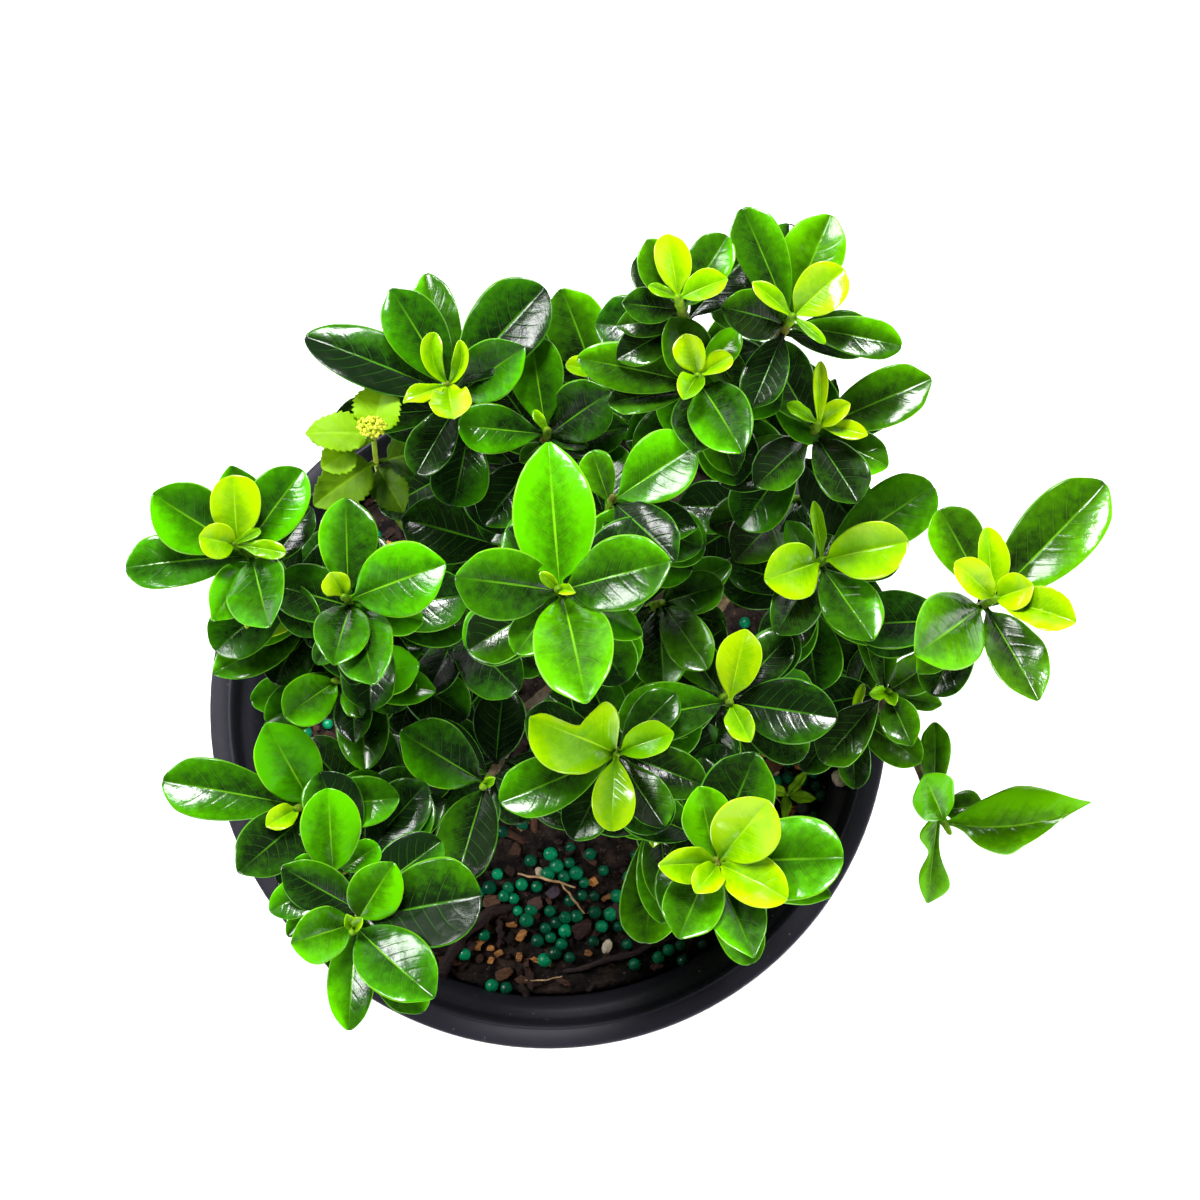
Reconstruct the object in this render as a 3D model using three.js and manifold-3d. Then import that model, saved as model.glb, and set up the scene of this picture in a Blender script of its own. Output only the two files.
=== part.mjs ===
// A dwarf gardenia in a black nursery pot, seen from above in the photograph it was measured on.
// Millimetres, +Z up. The origin is the centre of the pot's underside; -Y is the front.
// Every leafy stem is one solid, its new growth another, so each colour of the plant is a mesh of its own.
import * as THREE from "three";
import { mergeVertices } from "three/addons/utils/BufferGeometryUtils.js";
import Module from "manifold-3d";

const wasm = await Module();
wasm.setup();

// ---------------------------------------------------------------- driving dimensions
const POT = {
  height: 185,
  rimRadius: 100,
  baseRadius: 72,
  wall: 2.2,
  floor: 3,
  lipWidth: 6.5,
  lipTaper: 0.8, // how much the collar widens inside, from the lip down to its shoulder
  edge: 1.2, // bevel of the rim's edges
  heel: 2, // bevel round the underside
  bandHeight: 16,
  bandOverhang: 8,
  segments: 32,
  drainHoles: 8,
  drainRadius: 5,
  drainCircle: 56,
  drainSides: 10,
};
const SOIL = {
  level: 160,
  roughness: 1.6,
  segments: 20,
  rings: 3,
  chips: { count: 6, apart: 9, seed: 300, size: [9, 5, 2.4], tilt: [0.25, 0.2], turn: 2.4, raised: 0.2 },
  granules: { count: 47, apart: 5.6, seed: 700, radius: 2.4, raised: 0.7 },
  holeSides: 10, // the holes that stems stand in
  holeTop: 180,
};
const GAP = 0.3; // between two pieces that touch
const FACET_GAP = 0.65; // the soil's flat sides stand this far off the round wall
const JOINT = 0.5; // between the brown and the green part of a bent shoot
const TRUNK = { foot: [15, 18, 136], top: [17, 19, 179], radius: 5.5, taper: 0.8, sides: 8, hole: 6.9 };
const LIMB = { taper: 0.75, steps: 4, sides: 6 };
const STEM = {
  woody: 1.5,
  leafy: 1.25,
  young: 0.95,
  sides: 5,
  woodySides: 4,
  step: 38, // a longer stretch of stem is drawn in more steps
  upturn: 0.5, // how much a shoot's tip turns from its own direction to upright
  early: 0.25, // where a shoot's bend begins, and how long its upturned end is
  late: 0.4,
  leafyShare: 0.64, // the most of a shoot that is green
  sunk: 0.45, // how far off the axis a leaf is rooted
};
const PAIRS = { first: 2.5, pitch: 4.8, below: 6 }; // leaf pairs down a stem, from its tip
const BUD = { length: 4.6, taper: 0.5, first: 1.2, pitch: 0.7 }; // new growth past the tip
const LEAF = {
  thickness: 0.6,
  clear: 0.18, // the part of a blade by its root that may touch its neighbours
  arch: 24,
  archSpread: 22,
  fold: 12,
  foldSpread: 14,
  youngFold: 6, // a young leaf is folded this much more
  rollSpread: 26,
};
// Older leaves lower down: each pair turns on from the last, and lies flatter by `droop`.
const UNDER = {
  length: 22,
  spread: 7,
  lift: 8,
  droop: 3,
  width: 0.56, // of its length
  turn: 97,
  shootTurn: 40,
  turnSpread: 30,
};
const LARGE = 28; // a longer blade takes one more station
const TINY = 12; // a shorter one takes one less
const SPARE = 0.35; // room kept round a blade
const TRIES = 420; // the most places tried for a leaf

// ---------------------------------------------------------------- the plant, limb by limb
// A limb: the points its axis passes through, from its root, and its radius.
const LIMBS = {
  west: { radius: 2.6, points: [[17, 19, 172], [-4, 18, 188], [-28, 16, 212], [-48, 14, 238]] },
  southwest: { radius: 2.5, points: [[16, 17, 172], [-4, 0, 188], [-26, -20, 206], [-44, -38, 230]] },
  south: { radius: 2.5, points: [[18, 16, 172], [22, 0, 190], [30, -16, 214], [34, -26, 240]] },
  east: {
    radius: 3.7,
    points: [[17, 19, 174], [42, 16, 184], [66, 13, 191], [88, 7, 197], [100, -4, 206]],
  },
  north: {
    radius: 2.7,
    points: [[40, 17, 182], [52, 34, 192], [55, 52, 208], [54, 70, 244], [53, 82, 276]],
  },
  northwest: { radius: 2.4, points: [[17, 21, 174], [6, 38, 194], [-4, 54, 222], [-10, 62, 245]] },
  centre: { radius: 2.6, points: [[17, 20, 176], [14, 24, 205], [12, 24, 245], [10, 22, 290]] },
};
// A shoot leaves its limb at a fraction of the limb's length and ends at its growing tip. A leaf is
// [compass angle, length, lift above level, width]. The young ones stand at the tip, the others follow
// down the stem in pairs, and `older` is how many pairs of smaller leaves grow below those.
const SHOOTS = [
  { name: "crown", limb: "centre", at: 1, tip: [6, 18, 360],
    young: [[140, 6, 35, 3], [-20, 7, 60, 3.5]],
    leaves: [[95, 33, 14, 19], [10, 28, 28, 17], [175, 27, 32, 17], [-75, 36, 42, 19],
      [130, 19, 12, 11], [-125, 20, 30, 10], [-30, 26, 38, 9]], older: 2 },
  { name: "east_outer", limb: "east", at: 0.75, tip: [110, 20, 310],
    young: [[100, 18, 20, 9], [145, 16, 35, 9], [15, 12, 50, 10], [-20, 21, 30, 12]],
    leaves: [[45, 40, 14, 20], [120, 26, 16, 14], [-145, 34, 45, 20], [-65, 29, 26, 15],
      [-135, 23, 10, 9]], older: 1 },
  { name: "southeast", limb: "south", at: 1, tip: [43, -43, 310],
    young: [[55, 27, 48, 17], [180, 19, 42, 10], [-25, 21, 34, 13], [-130, 14, 46, 8]],
    leaves: [[0, 33, 34, 21], [105, 22, 36, 13], [70, 32, 48, 19], [-115, 27, 40, 15],
      [-70, 34, 42, 16], [-20, 31, 12, 12], [-70, 30, 10, 13]], older: 1 },
  { name: "west_outer", limb: "west", at: 1, tip: [-74, 34, 300],
    young: [[90, 19, 34, 12], [170, 11, 44, 10], [-10, 13, 14, 5], [25, 7, 12, 3]],
    leaves: [[150, 27, 28, 18], [50, 26, 22, 16], [-174, 31, 12, 15], [-65, 31, 48, 17],
      [-120, 26, 46, 12], [100, 28, 38, 14], [50, 19, 10, 10]], older: 1 },
  { name: "northwest", limb: "northwest", at: 1, tip: [-22, 73, 305],
    young: [[100, 14, 30, 9], [60, 12, 24, 6], [-80, 16, 50, 9], [-155, 12, 16, 4]],
    leaves: [[120, 29, 16, 16], [45, 35, 22, 21], [25, 28, 32, 16], [160, 40, 12, 16],
      [105, 33, 10, 12], [-118, 22, 14, 13], [155, 27, 8, 8], [-165, 32, 2, 11]], older: 0 },
  { name: "north_outer", limb: "north", at: 0.8, tip: [33, 85, 350],
    young: [[100, 15, 24, 9], [20, 12, 20, 8], [160, 7, 15, 3]],
    leaves: [[130, 15, 16, 6], [120, 23, 28, 16], [55, 20, 22, 12], [180, 15, 26, 9],
      [-170, 16, 10, 8]], older: 2 },
  { name: "northeast_tall", limb: "north", at: 1, tip: [59, 82, 345],
    young: [[40, 17, 34, 12], [140, 12, 16, 5], [-45, 10, 16, 3]],
    leaves: [[115, 28, 16, 13], [70, 27, 26, 16], [-12, 27, 12, 10], [175, 20, 38, 12]], older: 2 },
  { name: "north_middle", limb: "north", at: 0.7, tip: [38, 70, 335],
    young: [[110, 11, 32, 8], [30, 9, 18, 6], [-120, 12, 50, 7]],
    leaves: [[120, 20, 42, 13], [50, 15, 16, 8], [-65, 27, 40, 16], [170, 30, 14, 12],
      [-100, 25, 44, 13], [-170, 23, 10, 10], [35, 19, 12, 9], [75, 20, 30, 6]], older: 1 },
  { name: "north_crown", limb: "centre", at: 0.7, tip: [18, 43, 325],
    leaves: [[30, 25, 26, 17], [-45, 24, 28, 14], [110, 14, 16, 9], [-80, 12, 15, 7],
      [-10, 22, 16, 11]], older: 1 },
  { name: "northeast", limb: "north", at: 0.5, tip: [67, 61, 320],
    young: [[30, 11, 46, 6], [-15, 12, 18, 5], [150, 9, 16, 4], [90, 15, 24, 4]],
    leaves: [[125, 26, 30, 14], [20, 30, 14, 15], [-25, 20, 12, 11], [-60, 22, 22, 14],
      [-135, 24, 34, 12], [65, 16, 30, 6]], older: 1 },
  { name: "south_crown", limb: "south", at: 0.5, tip: [19, -17, 310],
    young: [[165, 27, 36, 18], [20, 16, 28, 10], [-95, 19, 16, 11]],
    leaves: [[-155, 31, 14, 15], [-60, 22, 20, 12]], older: 2 },
  { name: "west_upper", limb: "west", at: 0.75, tip: [-47, 21, 305],
    young: [[120, 9, 50, 8]],
    leaves: [[90, 25, 16, 16], [15, 31, 34, 19], [-100, 24, 46, 15], [-15, 19, 14, 12],
      [-70, 30, 42, 16], [-120, 18, 14, 7]], older: 1 },
  { name: "southwest_outer", limb: "southwest", at: 1, tip: [-46, -60, 290],
    young: [[105, 6, 50, 3.5], [45, 8, 52, 3.5]],
    leaves: [[-165, 22, 48, 15], [-40, 30, 28, 18], [55, 22, 36, 14], [10, 38, 32, 23],
      [-95, 29, 14, 13], [-55, 29, 10, 14]], older: 1 },
  { name: "southwest_node", limb: "southwest", at: 0.9, tip: [-53, -48, 280],
    leaves: [[90, 25, 28, 16], [-150, 18, 14, 11], [35, 13, 18, 8], [165, 13, 34, 7],
      [-130, 22, 12, 8]], older: 0 },
  { name: "centre_east", limb: "east", at: 0.25, tip: [47, -4, 295],
    young: [[80, 19, 20, 12], [-65, 13, 36, 8]],
    leaves: [[-170, 29, 14, 16], [-10, 28, 20, 17], [45, 23, 16, 12]], older: 2 },
  { name: "east_inner", limb: "east", at: 0.5, tip: [70, 31, 295],
    young: [[-155, 21, 40, 15], [8, 24, 34, 16], [100, 15, 24, 4]],
    leaves: [[35, 34, 14, 17], [-60, 26, 28, 15], [-125, 28, 40, 14], [5, 21, 14, 10],
      [125, 18, 40, 8]], older: 1 },
  { name: "north_inner", limb: "northwest", at: 0.8, tip: [2, 62, 305],
    young: [[125, 6, 24, 3]],
    leaves: [[100, 25, 16, 14], [178, 22, 14, 13], [30, 25, 44, 16], [-15, 11, 15, 5],
      [-135, 10, 36, 5], [5, 26, 34, 13]], older: 1 },
  { name: "north_gap", limb: "northwest", at: 0.6, tip: [14, 79, 290],
    young: [[170, 9, 34, 6]],
    leaves: [[110, 25, 28, 16], [55, 17, 48, 9]], older: 1 },
  { name: "west_inner", limb: "west", at: 0.9, tip: [-62, 18, 270],
    young: [[180, 15, 22, 10], [75, 11, 16, 4]],
    leaves: [[-175, 20, 14, 12], [-150, 28, 14, 14]], older: 1 },
  { name: "west_lower", limb: "west", at: 0.7, tip: [-54, 3, 265],
    leaves: [[-140, 22, 44, 14], [10, 23, 20, 14], [-65, 13, 30, 8], [-10, 25, 14, 11],
      [-85, 21, 32, 11], [-150, 27, 22, 14], [-85, 29, 26, 15], [-165, 30, 12, 11],
      [170, 25, 12, 9]], older: 0 },
  { name: "southwest_inner", limb: "southwest", at: 0.8, tip: [-63, -30, 260],
    young: [[-145, 12, 44, 7]],
    leaves: [[115, 29, 42, 18], [168, 38, 12, 17], [-135, 32, 42, 17], [5, 25, 24, 14],
      [30, 17, 14, 9]], older: 0 },
  { name: "south_buds", limb: "south", at: 0.8, tip: [30, -32, 275],
    young: [[120, 7, 45, 4], [40, 6, 48, 3], [-100, 8, 20, 4], [-45, 7, 40, 3]],
    leaves: [[75, 21, 40, 14], [175, 26, 40, 14], [-85, 25, 14, 14], [40, 21, 24, 13],
      [-90, 30, 12, 13], [-95, 35, 8, 17], [-175, 33, 10, 13]], older: 1 },
  { name: "centre_low", limb: "centre", at: 0.35, tip: [31, 22, 280],
    leaves: [[15, 18, 28, 12], [-55, 25, 34, 13], [-85, 27, 34, 15], [30, 22, 18, 11]], older: 1 },
  { name: "east_middle", limb: "east", at: 0.85, tip: [90, 0, 265],
    young: [[-75, 6, 55, 4], [-140, 8, 48, 4]],
    leaves: [[35, 17, 42, 11], [-70, 17, 28, 11], [-15, 15, 14, 6], [95, 22, 16, 9],
      [110, 24, 32, 7]], older: 1 },
  { name: "northeast_low", limb: "north", at: 0.5, tip: [68, 52, 256],
    leaves: [[-135, 30, 34, 16], [-50, 22, 34, 13], [-105, 28, 18, 15], [170, 24, 16, 13]], older: 0 },
  { name: "south_inner", limb: "southwest", at: 0.35, tip: [-16, -24, 245],
    young: [[35, 6, 55, 3]],
    leaves: [[150, 30, 32, 19], [-105, 30, 24, 18]], older: 0 },
  { name: "centre_west", limb: "west", at: 0.3, tip: [-25, 19, 245],
    leaves: [[-45, 34, 40, 18], [150, 22, 20, 13], [-110, 28, 42, 12], [70, 20, 16, 13]], older: 0 },
  { name: "centre_north", limb: "northwest", at: 0.35, tip: [-11, 39, 258],
    leaves: [[165, 28, 12, 19], [-95, 22, 26, 14], [100, 24, 16, 15], [40, 20, 24, 13],
      [-150, 24, 10, 14], [-20, 20, 12, 13]], older: 0 },
  { name: "east_low", limb: "east", at: 0.7, tip: [83, -5, 240],
    young: [[-135, 11, 16, 6], [70, 9, 14, 3]],
    leaves: [[-90, 21, 14, 10], [-35, 23, 14, 12]], older: 1 },
  { name: "northwest_low", limb: "northwest", at: 0.5, tip: [-26, 66, 225],
    leaves: [[-175, 20, 12, 12], [-145, 29, 32, 15], [-35, 20, 46, 13]], older: 0 },
  { name: "south_low", limb: "southwest", at: 0.5, tip: [-48, -41, 225],
    leaves: [[0, 22, 30, 14], [-12, 14, 14, 9]], older: 1 },
  { name: "east_hanging", limb: "east", at: 1, tip: [111, -36, 225],
    leaves: [[10, 41, 12, 18], [120, 21, 46, 14], [-95, 30, -30, 10], [5, 12, 12, 10],
      [90, 23, 26, 9]], older: 0 },
];
// Two small wild plants share the pot: a toothed-leaved one with a flower head, and a seedling.
const WEED = {
  stem: [[-45, 55, 156], [-46, 57, 205], [-44, 59, 258], [-41, 63, 306]],
  radius: 0.9,
  hole: 1.7,
  leaves: [[75, 13, 8, 11, 6], [180, 17, 8, 9, 7], [195, 12, 4, 7, 11], [215, 20, 6, 11, 36],
    [12, 18, 10, 10, 38], [-60, 15, 8, 9, 40]], // the fifth number is how far below the top it grows
  florets: { count: 7, radius: 1.7, turn: 2.4, spacing: 0.62, step: 0.5 },
};
const WILD = { steps: 5, firstNumber: 2000 };
const SEEDLING = {
  stem: [[70, -26, 156], [70, -26, 166], [71, -26, 174]],
  radius: 0.8,
  hole: 1.6,
  leaves: [[50, 10, 20, 3, 0.5], [-10, 9, 16, 4, 0.9], [160, 9, 26, 3.5, 1.3], [-100, 8, 20, 3.5, 1.7]],
};
// A blade's stations: how far along it, its width there, and whether the midrib shows as a fold.
const FORMS = {
  tiny: [[0.52, 1, false]],
  small: [[0.38, 0.92, false], [0.74, 0.86, false]],
  large: [[0.28, 0.76, false], [0.56, 1.04, true], [0.84, 0.68, false]],
  outer: [[0.5, 0.96, false], [0.8, 0.76, false]],
  toothed: [[0.3, 1, false], [0.42, 0.66, false], [0.6, 0.94, false], [0.72, 0.5, false]],
};

// ---------------------------------------------------------------- materials
const finish = (color, roughness) => new THREE.MeshStandardMaterial({ color, roughness, metalness: 0 });
const MATERIAL = {
  pot: finish(0x1d1d26, 0.45),
  soil: finish(0x2a1a10, 0.95),
  bark: finish(0x6b4a2c, 0.8),
  leaf: finish(0x1f7a1a, 0.25),
  young: finish(0xa6dd1f, 0.3),
  weed: finish(0x9ccb3a, 0.6),
  floret: finish(0xb9c83a, 0.7),
};

// ---------------------------------------------------------------- small helpers
const radians = THREE.MathUtils.degToRad;
const vector = (p) => new THREE.Vector3(...p);
const UP = new THREE.Vector3(0, 0, 1);

// A repeatable draw between 0 and 1.
function draw(seed) {
  const value = Math.sin(seed * 12.9898 + 4.1414) * 43758.5453;
  return value - Math.floor(value);
}

function solidOf(geometry) {
  const bare = geometry.clone();
  bare.deleteAttribute("normal");
  bare.deleteAttribute("uv");
  const merged = mergeVertices(bare, 1e-3);
  const triVerts = new Uint32Array(merged.index.array);
  return new wasm.Manifold(
    new wasm.Mesh({ numProp: 3, vertProperties: merged.attributes.position.array, triVerts }),
  );
}

function geometryOf(solid) {
  const mesh = solid.getMesh();
  return new THREE.BufferGeometry()
    .setAttribute("position", new THREE.BufferAttribute(mesh.vertProperties, 3))
    .setIndex(new THREE.BufferAttribute(mesh.triVerts, 1));
}

// A closed tube along a curve that tapers from its start to `taper` times its radius at its end.
function tube(curve, radius, steps, taper = 1, sides = STEM.sides) {
  const section = new THREE.Shape();
  for (let k = 0; k < sides; k++) {
    const angle = (2 * Math.PI * k) / sides;
    section[k ? "lineTo" : "moveTo"](radius * Math.cos(angle), radius * Math.sin(angle));
  }
  const geometry = new THREE.ExtrudeGeometry(section, { extrudePath: curve, steps, bevelEnabled: false });
  const axis = curve.getSpacedPoints(steps);
  const position = geometry.attributes.position;
  const point = new THREE.Vector3();
  for (let i = 0; i < position.count; i++) {
    point.fromBufferAttribute(position, i);
    const away = axis.map((centre) => centre.distanceToSquared(point));
    const ring = away.indexOf(Math.min(...away));
    point.sub(axis[ring]).multiplyScalar(1 + ((taper - 1) * ring) / steps).add(axis[ring]);
    position.setXYZ(i, point.x, point.y, point.z);
  }
  return solidOf(geometry);
}

const smoothThrough = (points) => new THREE.CatmullRomCurve3(points, false, "catmullrom", 0.5);

// The stretch of a curve between two lengths measured from its start.
function stretch(curve, from, to, steps) {
  const length = curve.getLength();
  const points = [];
  for (let k = 0; k <= steps; k++) {
    const at = (from + ((to - from) * k) / steps) / length;
    points.push(curve.getPointAt(Math.min(1, Math.max(0, at))));
  }
  return smoothThrough(points);
}

function union(solids) {
  return solids.reduce((whole, solid) => whole.add(solid));
}

// ---------------------------------------------------------------- a leaf blade
// A point of the blade: `along` runs 0..1 from root to tip, `across` -1..1 over the width, and
// `above` is the height over the blade's middle surface.
function bladePoint(leaf, along, across, half, above) {
  const arch = radians(leaf.arch);
  const start = radians(leaf.lift) + arch / 2;
  const slope = start - arch * along;
  const run = (leaf.length * (Math.sin(start) - Math.sin(slope))) / arch;
  const rise = (leaf.length * (Math.cos(slope) - Math.cos(start))) / arch;
  const turn = radians(leaf.azimuth);
  const forward = new THREE.Vector3(Math.cos(turn), Math.sin(turn), 0);
  const level = new THREE.Vector3(-Math.sin(turn), Math.cos(turn), 0);
  const upright = forward.clone().multiplyScalar(-Math.sin(slope)).addScaledVector(UP, Math.cos(slope));
  const roll = radians(leaf.roll);
  const side = level.clone().multiplyScalar(Math.cos(roll)).addScaledVector(upright, Math.sin(roll));
  const normal = upright.multiplyScalar(Math.cos(roll)).addScaledVector(level, -Math.sin(roll));
  const fold = radians(leaf.fold);
  return leaf.root
    .clone()
    .addScaledVector(forward, run)
    .addScaledVector(UP, rise)
    .addScaledVector(side, across * half * Math.cos(fold))
    .addScaledVector(normal, Math.abs(across) * half * Math.sin(fold) + above);
}

// The upper faces between two rows of [left, midrib or null, right] corners.
function strip([left, middle, right], [nextLeft, nextMiddle, nextRight]) {
  const near = middle === null ? [right, left] : [right, middle, left];
  const far = nextMiddle === null ? [nextRight, nextLeft] : [nextRight, nextMiddle, nextLeft];
  const faces = [];
  for (let i = 0, j = 0; i < near.length - 1 || j < far.length - 1; ) {
    if (j < far.length - 1 && (i === near.length - 1 || (j + 1) / far.length <= (i + 1) / near.length)) {
      faces.push([near[i], far[j], far[j + 1]]);
      j += 1;
    } else {
      faces.push([near[i], far[j], near[i + 1]]);
      i += 1;
    }
  }
  return faces.filter(([a, b, c]) => a !== b && b !== c && c !== a);
}

// The closed blade over a form's stations, `spare` larger all round, from `begin` along the midrib.
function blade(leaf, form, spare = 0, begin = 0) {
  const grown = { ...leaf, length: leaf.length + spare };
  const thick = LEAF.thickness / 2 + spare;
  const positions = [];
  const corner = (along, across, half) => {
    positions.push(...bladePoint(grown, along, across, half, thick).toArray());
    positions.push(...bladePoint(grown, along, across, half, -thick).toArray());
    return positions.length / 3 - 2; // the upper corner; the lower one follows it
  };
  const end = (along) => Array(3).fill(corner(along, 0, 0));
  const rows = [end(begin)];
  for (const [along, wide, folded] of form) {
    const half = (wide * leaf.width) / 2 + spare;
    const [left, right] = [corner(along, 1, half), corner(along, -1, half)];
    rows.push([left, folded ? corner(along, 0, 0) : null, right]);
  }
  rows.push(end(1));
  const faces = rows.slice(1).flatMap((row, k) => strip(rows[k], row));
  const index = faces.flatMap(([a, b, c]) => [a, b, c, a + 1, c + 1, b + 1]);
  const wall = (a, b) => index.push(a, b, b + 1, a, b + 1, a + 1);
  for (let k = 1; k < rows.length; k++) {
    wall(rows[k - 1][0], rows[k][0]);
    wall(rows[k][2], rows[k - 1][2]);
  }
  const geometry = new THREE.BufferGeometry()
    .setAttribute("position", new THREE.Float32BufferAttribute(positions, 3))
    .setIndex(index);
  return solidOf(geometry);
}

// ---------------------------------------------------------------- pot and soil
const innerRadius = (z) => wallRadius(z) - POT.wall;
function wallRadius(z) {
  const top = POT.rimRadius - POT.bandOverhang;
  return THREE.MathUtils.mapLinear(z, 0, POT.height, POT.baseRadius, top);
}

function lathe(profile, segments) {
  const points = profile.map(([radius, z]) => new THREE.Vector2(radius, z));
  return new THREE.LatheGeometry(points, segments).rotateX(Math.PI / 2);
}

function potSolid() {
  const { height, floor, edge, heel, bandHeight, rimRadius, lipWidth, lipTaper, baseRadius } = POT;
  const bandFoot = height - bandHeight;
  const lip = rimRadius - lipWidth;
  const shoulder = bandFoot + POT.wall;
  const profile = [
    [0, 0], [baseRadius - heel, 0], [baseRadius, heel], [wallRadius(bandFoot), bandFoot],
    [rimRadius - edge, bandFoot], [rimRadius, height - edge], [rimRadius - edge, height],
    [lip, height], [lip - lipTaper, shoulder + POT.wall], [innerRadius(shoulder), shoulder],
    [innerRadius(floor), floor], [0, floor],
  ];
  let pot = solidOf(lathe(profile, POT.segments));
  for (let k = 0; k < POT.drainHoles; k++) {
    const angle = (2 * Math.PI * (k + 0.5)) / POT.drainHoles;
    const hole = new THREE.CylinderGeometry(POT.drainRadius, POT.drainRadius, 4 * floor, POT.drainSides)
      .rotateX(Math.PI / 2)
      .translate(POT.drainCircle * Math.cos(angle), POT.drainCircle * Math.sin(angle), floor);
    pot = pot.subtract(solidOf(hole));
  }
  return pot;
}

// Height of the soil surface: three slow waves and a slight fall towards the pot's wall.
function soilHeight(x, y) {
  const waves = Math.sin(x * 0.09 + 1) + Math.sin(y * 0.11 + 2) + Math.sin((x - y) * 0.07);
  return SOIL.level + (SOIL.roughness * waves) / 2;
}

function granule(x, y) {
  const { radius, raised } = SOIL.granules;
  return solidOf(new THREE.OctahedronGeometry(radius, 0).translate(x, y, soilHeight(x, y) + raised));
}

function barkChip(x, y, number) {
  const { size, tilt, turn, raised } = SOIL.chips;
  const box = new THREE.BoxGeometry(...size).rotateX(tilt[0]).rotateY(tilt[1]).rotateZ(turn * number);
  return solidOf(box.translate(x, y, soilHeight(x, y) + raised));
}

// Seeded places on the soil, each at least `apart` from those already taken.
function scatter({ count, apart, seed }, taken) {
  const places = [];
  const reach = innerRadius(SOIL.level) - 2 * apart;
  for (let k = 0; places.length < count; k++) {
    const radius = reach * Math.sqrt(draw(seed + k));
    const angle = 2 * Math.PI * draw(seed + k + 0.5);
    const [x, y] = [radius * Math.cos(angle), radius * Math.sin(angle)];
    if (taken.some(([a, b]) => Math.hypot(a - x, b - y) < apart)) continue;
    places.push([x, y]);
    taken.push([x, y]);
  }
  return places;
}

function soilSolid(roots) {
  const outside = (z) => innerRadius(z) - FACET_GAP;
  const bottom = POT.floor + GAP;
  const reach = outside(SOIL.level);
  const profile = [[0, bottom], [outside(bottom), bottom]];
  for (let k = SOIL.rings; k >= 0; k--) profile.push([(reach * k) / SOIL.rings, SOIL.level]);
  const geometry = lathe(profile, SOIL.segments);
  const position = geometry.attributes.position;
  for (let i = 0; i < position.count; i++) {
    const [x, y] = [position.getX(i), position.getY(i)];
    const inside = Math.hypot(x, y) < reach - 1;
    if (inside && position.getZ(i) > bottom + 1) position.setZ(i, soilHeight(x, y));
  }
  const taken = roots.map(({ x, y }) => [x, y]);
  const chips = scatter(SOIL.chips, taken).map(([x, y], k) => barkChip(x, y, k));
  const granules = scatter(SOIL.granules, taken).map(([x, y]) => granule(x, y));
  let soil = union([solidOf(geometry), ...chips, ...granules]);
  for (const { x, y, z, hole } of roots) {
    const depth = SOIL.holeTop - z;
    const bore = new THREE.CylinderGeometry(hole, hole, depth, SOIL.holeSides).rotateX(Math.PI / 2);
    soil = soil.subtract(solidOf(bore.translate(x, y, z + depth / 2 - GAP)));
  }
  return soil;
}

// ---------------------------------------------------------------- stems
// The axis of a shoot, from inside its limb to its growing tip, bending up towards the light.
function shootAxis(shoot) {
  const from = smoothThrough(LIMBS[shoot.limb].points.map(vector)).getPoint(shoot.at);
  const tip = vector(shoot.tip);
  const span = tip.clone().sub(from);
  const distance = span.length();
  const heading = span.clone().normalize().lerp(UP, STEM.upturn).normalize();
  const early = from.clone().addScaledVector(span, STEM.early);
  const late = tip.clone().addScaledVector(heading, -STEM.late * distance);
  return new THREE.CubicBezierCurve3(from, early, late, tip);
}

// Length of the green, leafy part of a shoot.
function leafyLength(shoot, axis) {
  const levels = Math.ceil(shoot.leaves.length / 2) + shoot.older;
  const needed = PAIRS.first + PAIRS.pitch * (levels - 1) + PAIRS.below;
  return Math.min(needed, STEM.leafyShare * axis.getLength());
}

// The leafy part itself: its curve, the steps it is drawn in, and the centres of its rings.
function leafyStem(shoot, axis) {
  const length = leafyLength(shoot, axis);
  const steps = 1 + Math.round(length / STEM.step);
  const curve = stretch(axis, axis.getLength() - length, axis.getLength(), steps);
  return { curve, steps, centres: curve.getSpacedPoints(steps) };
}

// The point a given length before the end of a line of points.
function beforeEnd(points, distance) {
  for (let k = points.length - 1, left = distance; k > 0; k--) {
    const step = points[k].distanceTo(points[k - 1]);
    if (left <= step || k === 1) return points[k].clone().lerp(points[k - 1], Math.min(1, left / step));
    left -= step;
  }
  return points[0].clone();
}

function woodSolid() {
  const upright = new THREE.LineCurve3(vector(TRUNK.foot), vector(TRUNK.top));
  const trunk = tube(upright, TRUNK.radius, 2, TRUNK.taper, TRUNK.sides);
  const limbs = Object.values(LIMBS).map(({ points, radius }) =>
    tube(smoothThrough(points.map(vector)), radius, LIMB.steps, LIMB.taper, LIMB.sides),
  );
  const stubs = SHOOTS.map((shoot) => {
    const axis = shootAxis(shoot);
    const end = axis.getLength() - leafyLength(shoot, axis) - JOINT;
    const steps = 1 + Math.round(end / STEM.step);
    return tube(stretch(axis, 0, end, steps), STEM.woody, steps, STEM.leafy / STEM.woody, STEM.woodySides);
  });
  return union([trunk, ...limbs, ...stubs]);
}

// ---------------------------------------------------------------- leaves on the shoots
// What may be changed on a leaf that would cross another, mildest change first.
function adjustments() {
  const all = [];
  for (const scale of [1, 0.92, 0.84, 0.74])
    for (const slide of [0, 1.6, -1.6, 3.2, 5])
      for (const lift of [0, 7, -7, 14, -14, 22])
        for (const swing of [0, 9, -9, 18, -18, 30, -30]) {
          const [slid, lifted, swung] = [slide, lift, swing].map(Math.abs);
          const cost = 60 * (1 - scale) + 2 * slid + 0.6 * lifted + 0.55 * swung;
          all.push({ scale, slide, lift, swing, cost });
        }
  return all.sort((a, b) => a.cost - b.cost).slice(0, TRIES);
}
const ADJUSTMENTS = adjustments();

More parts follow.
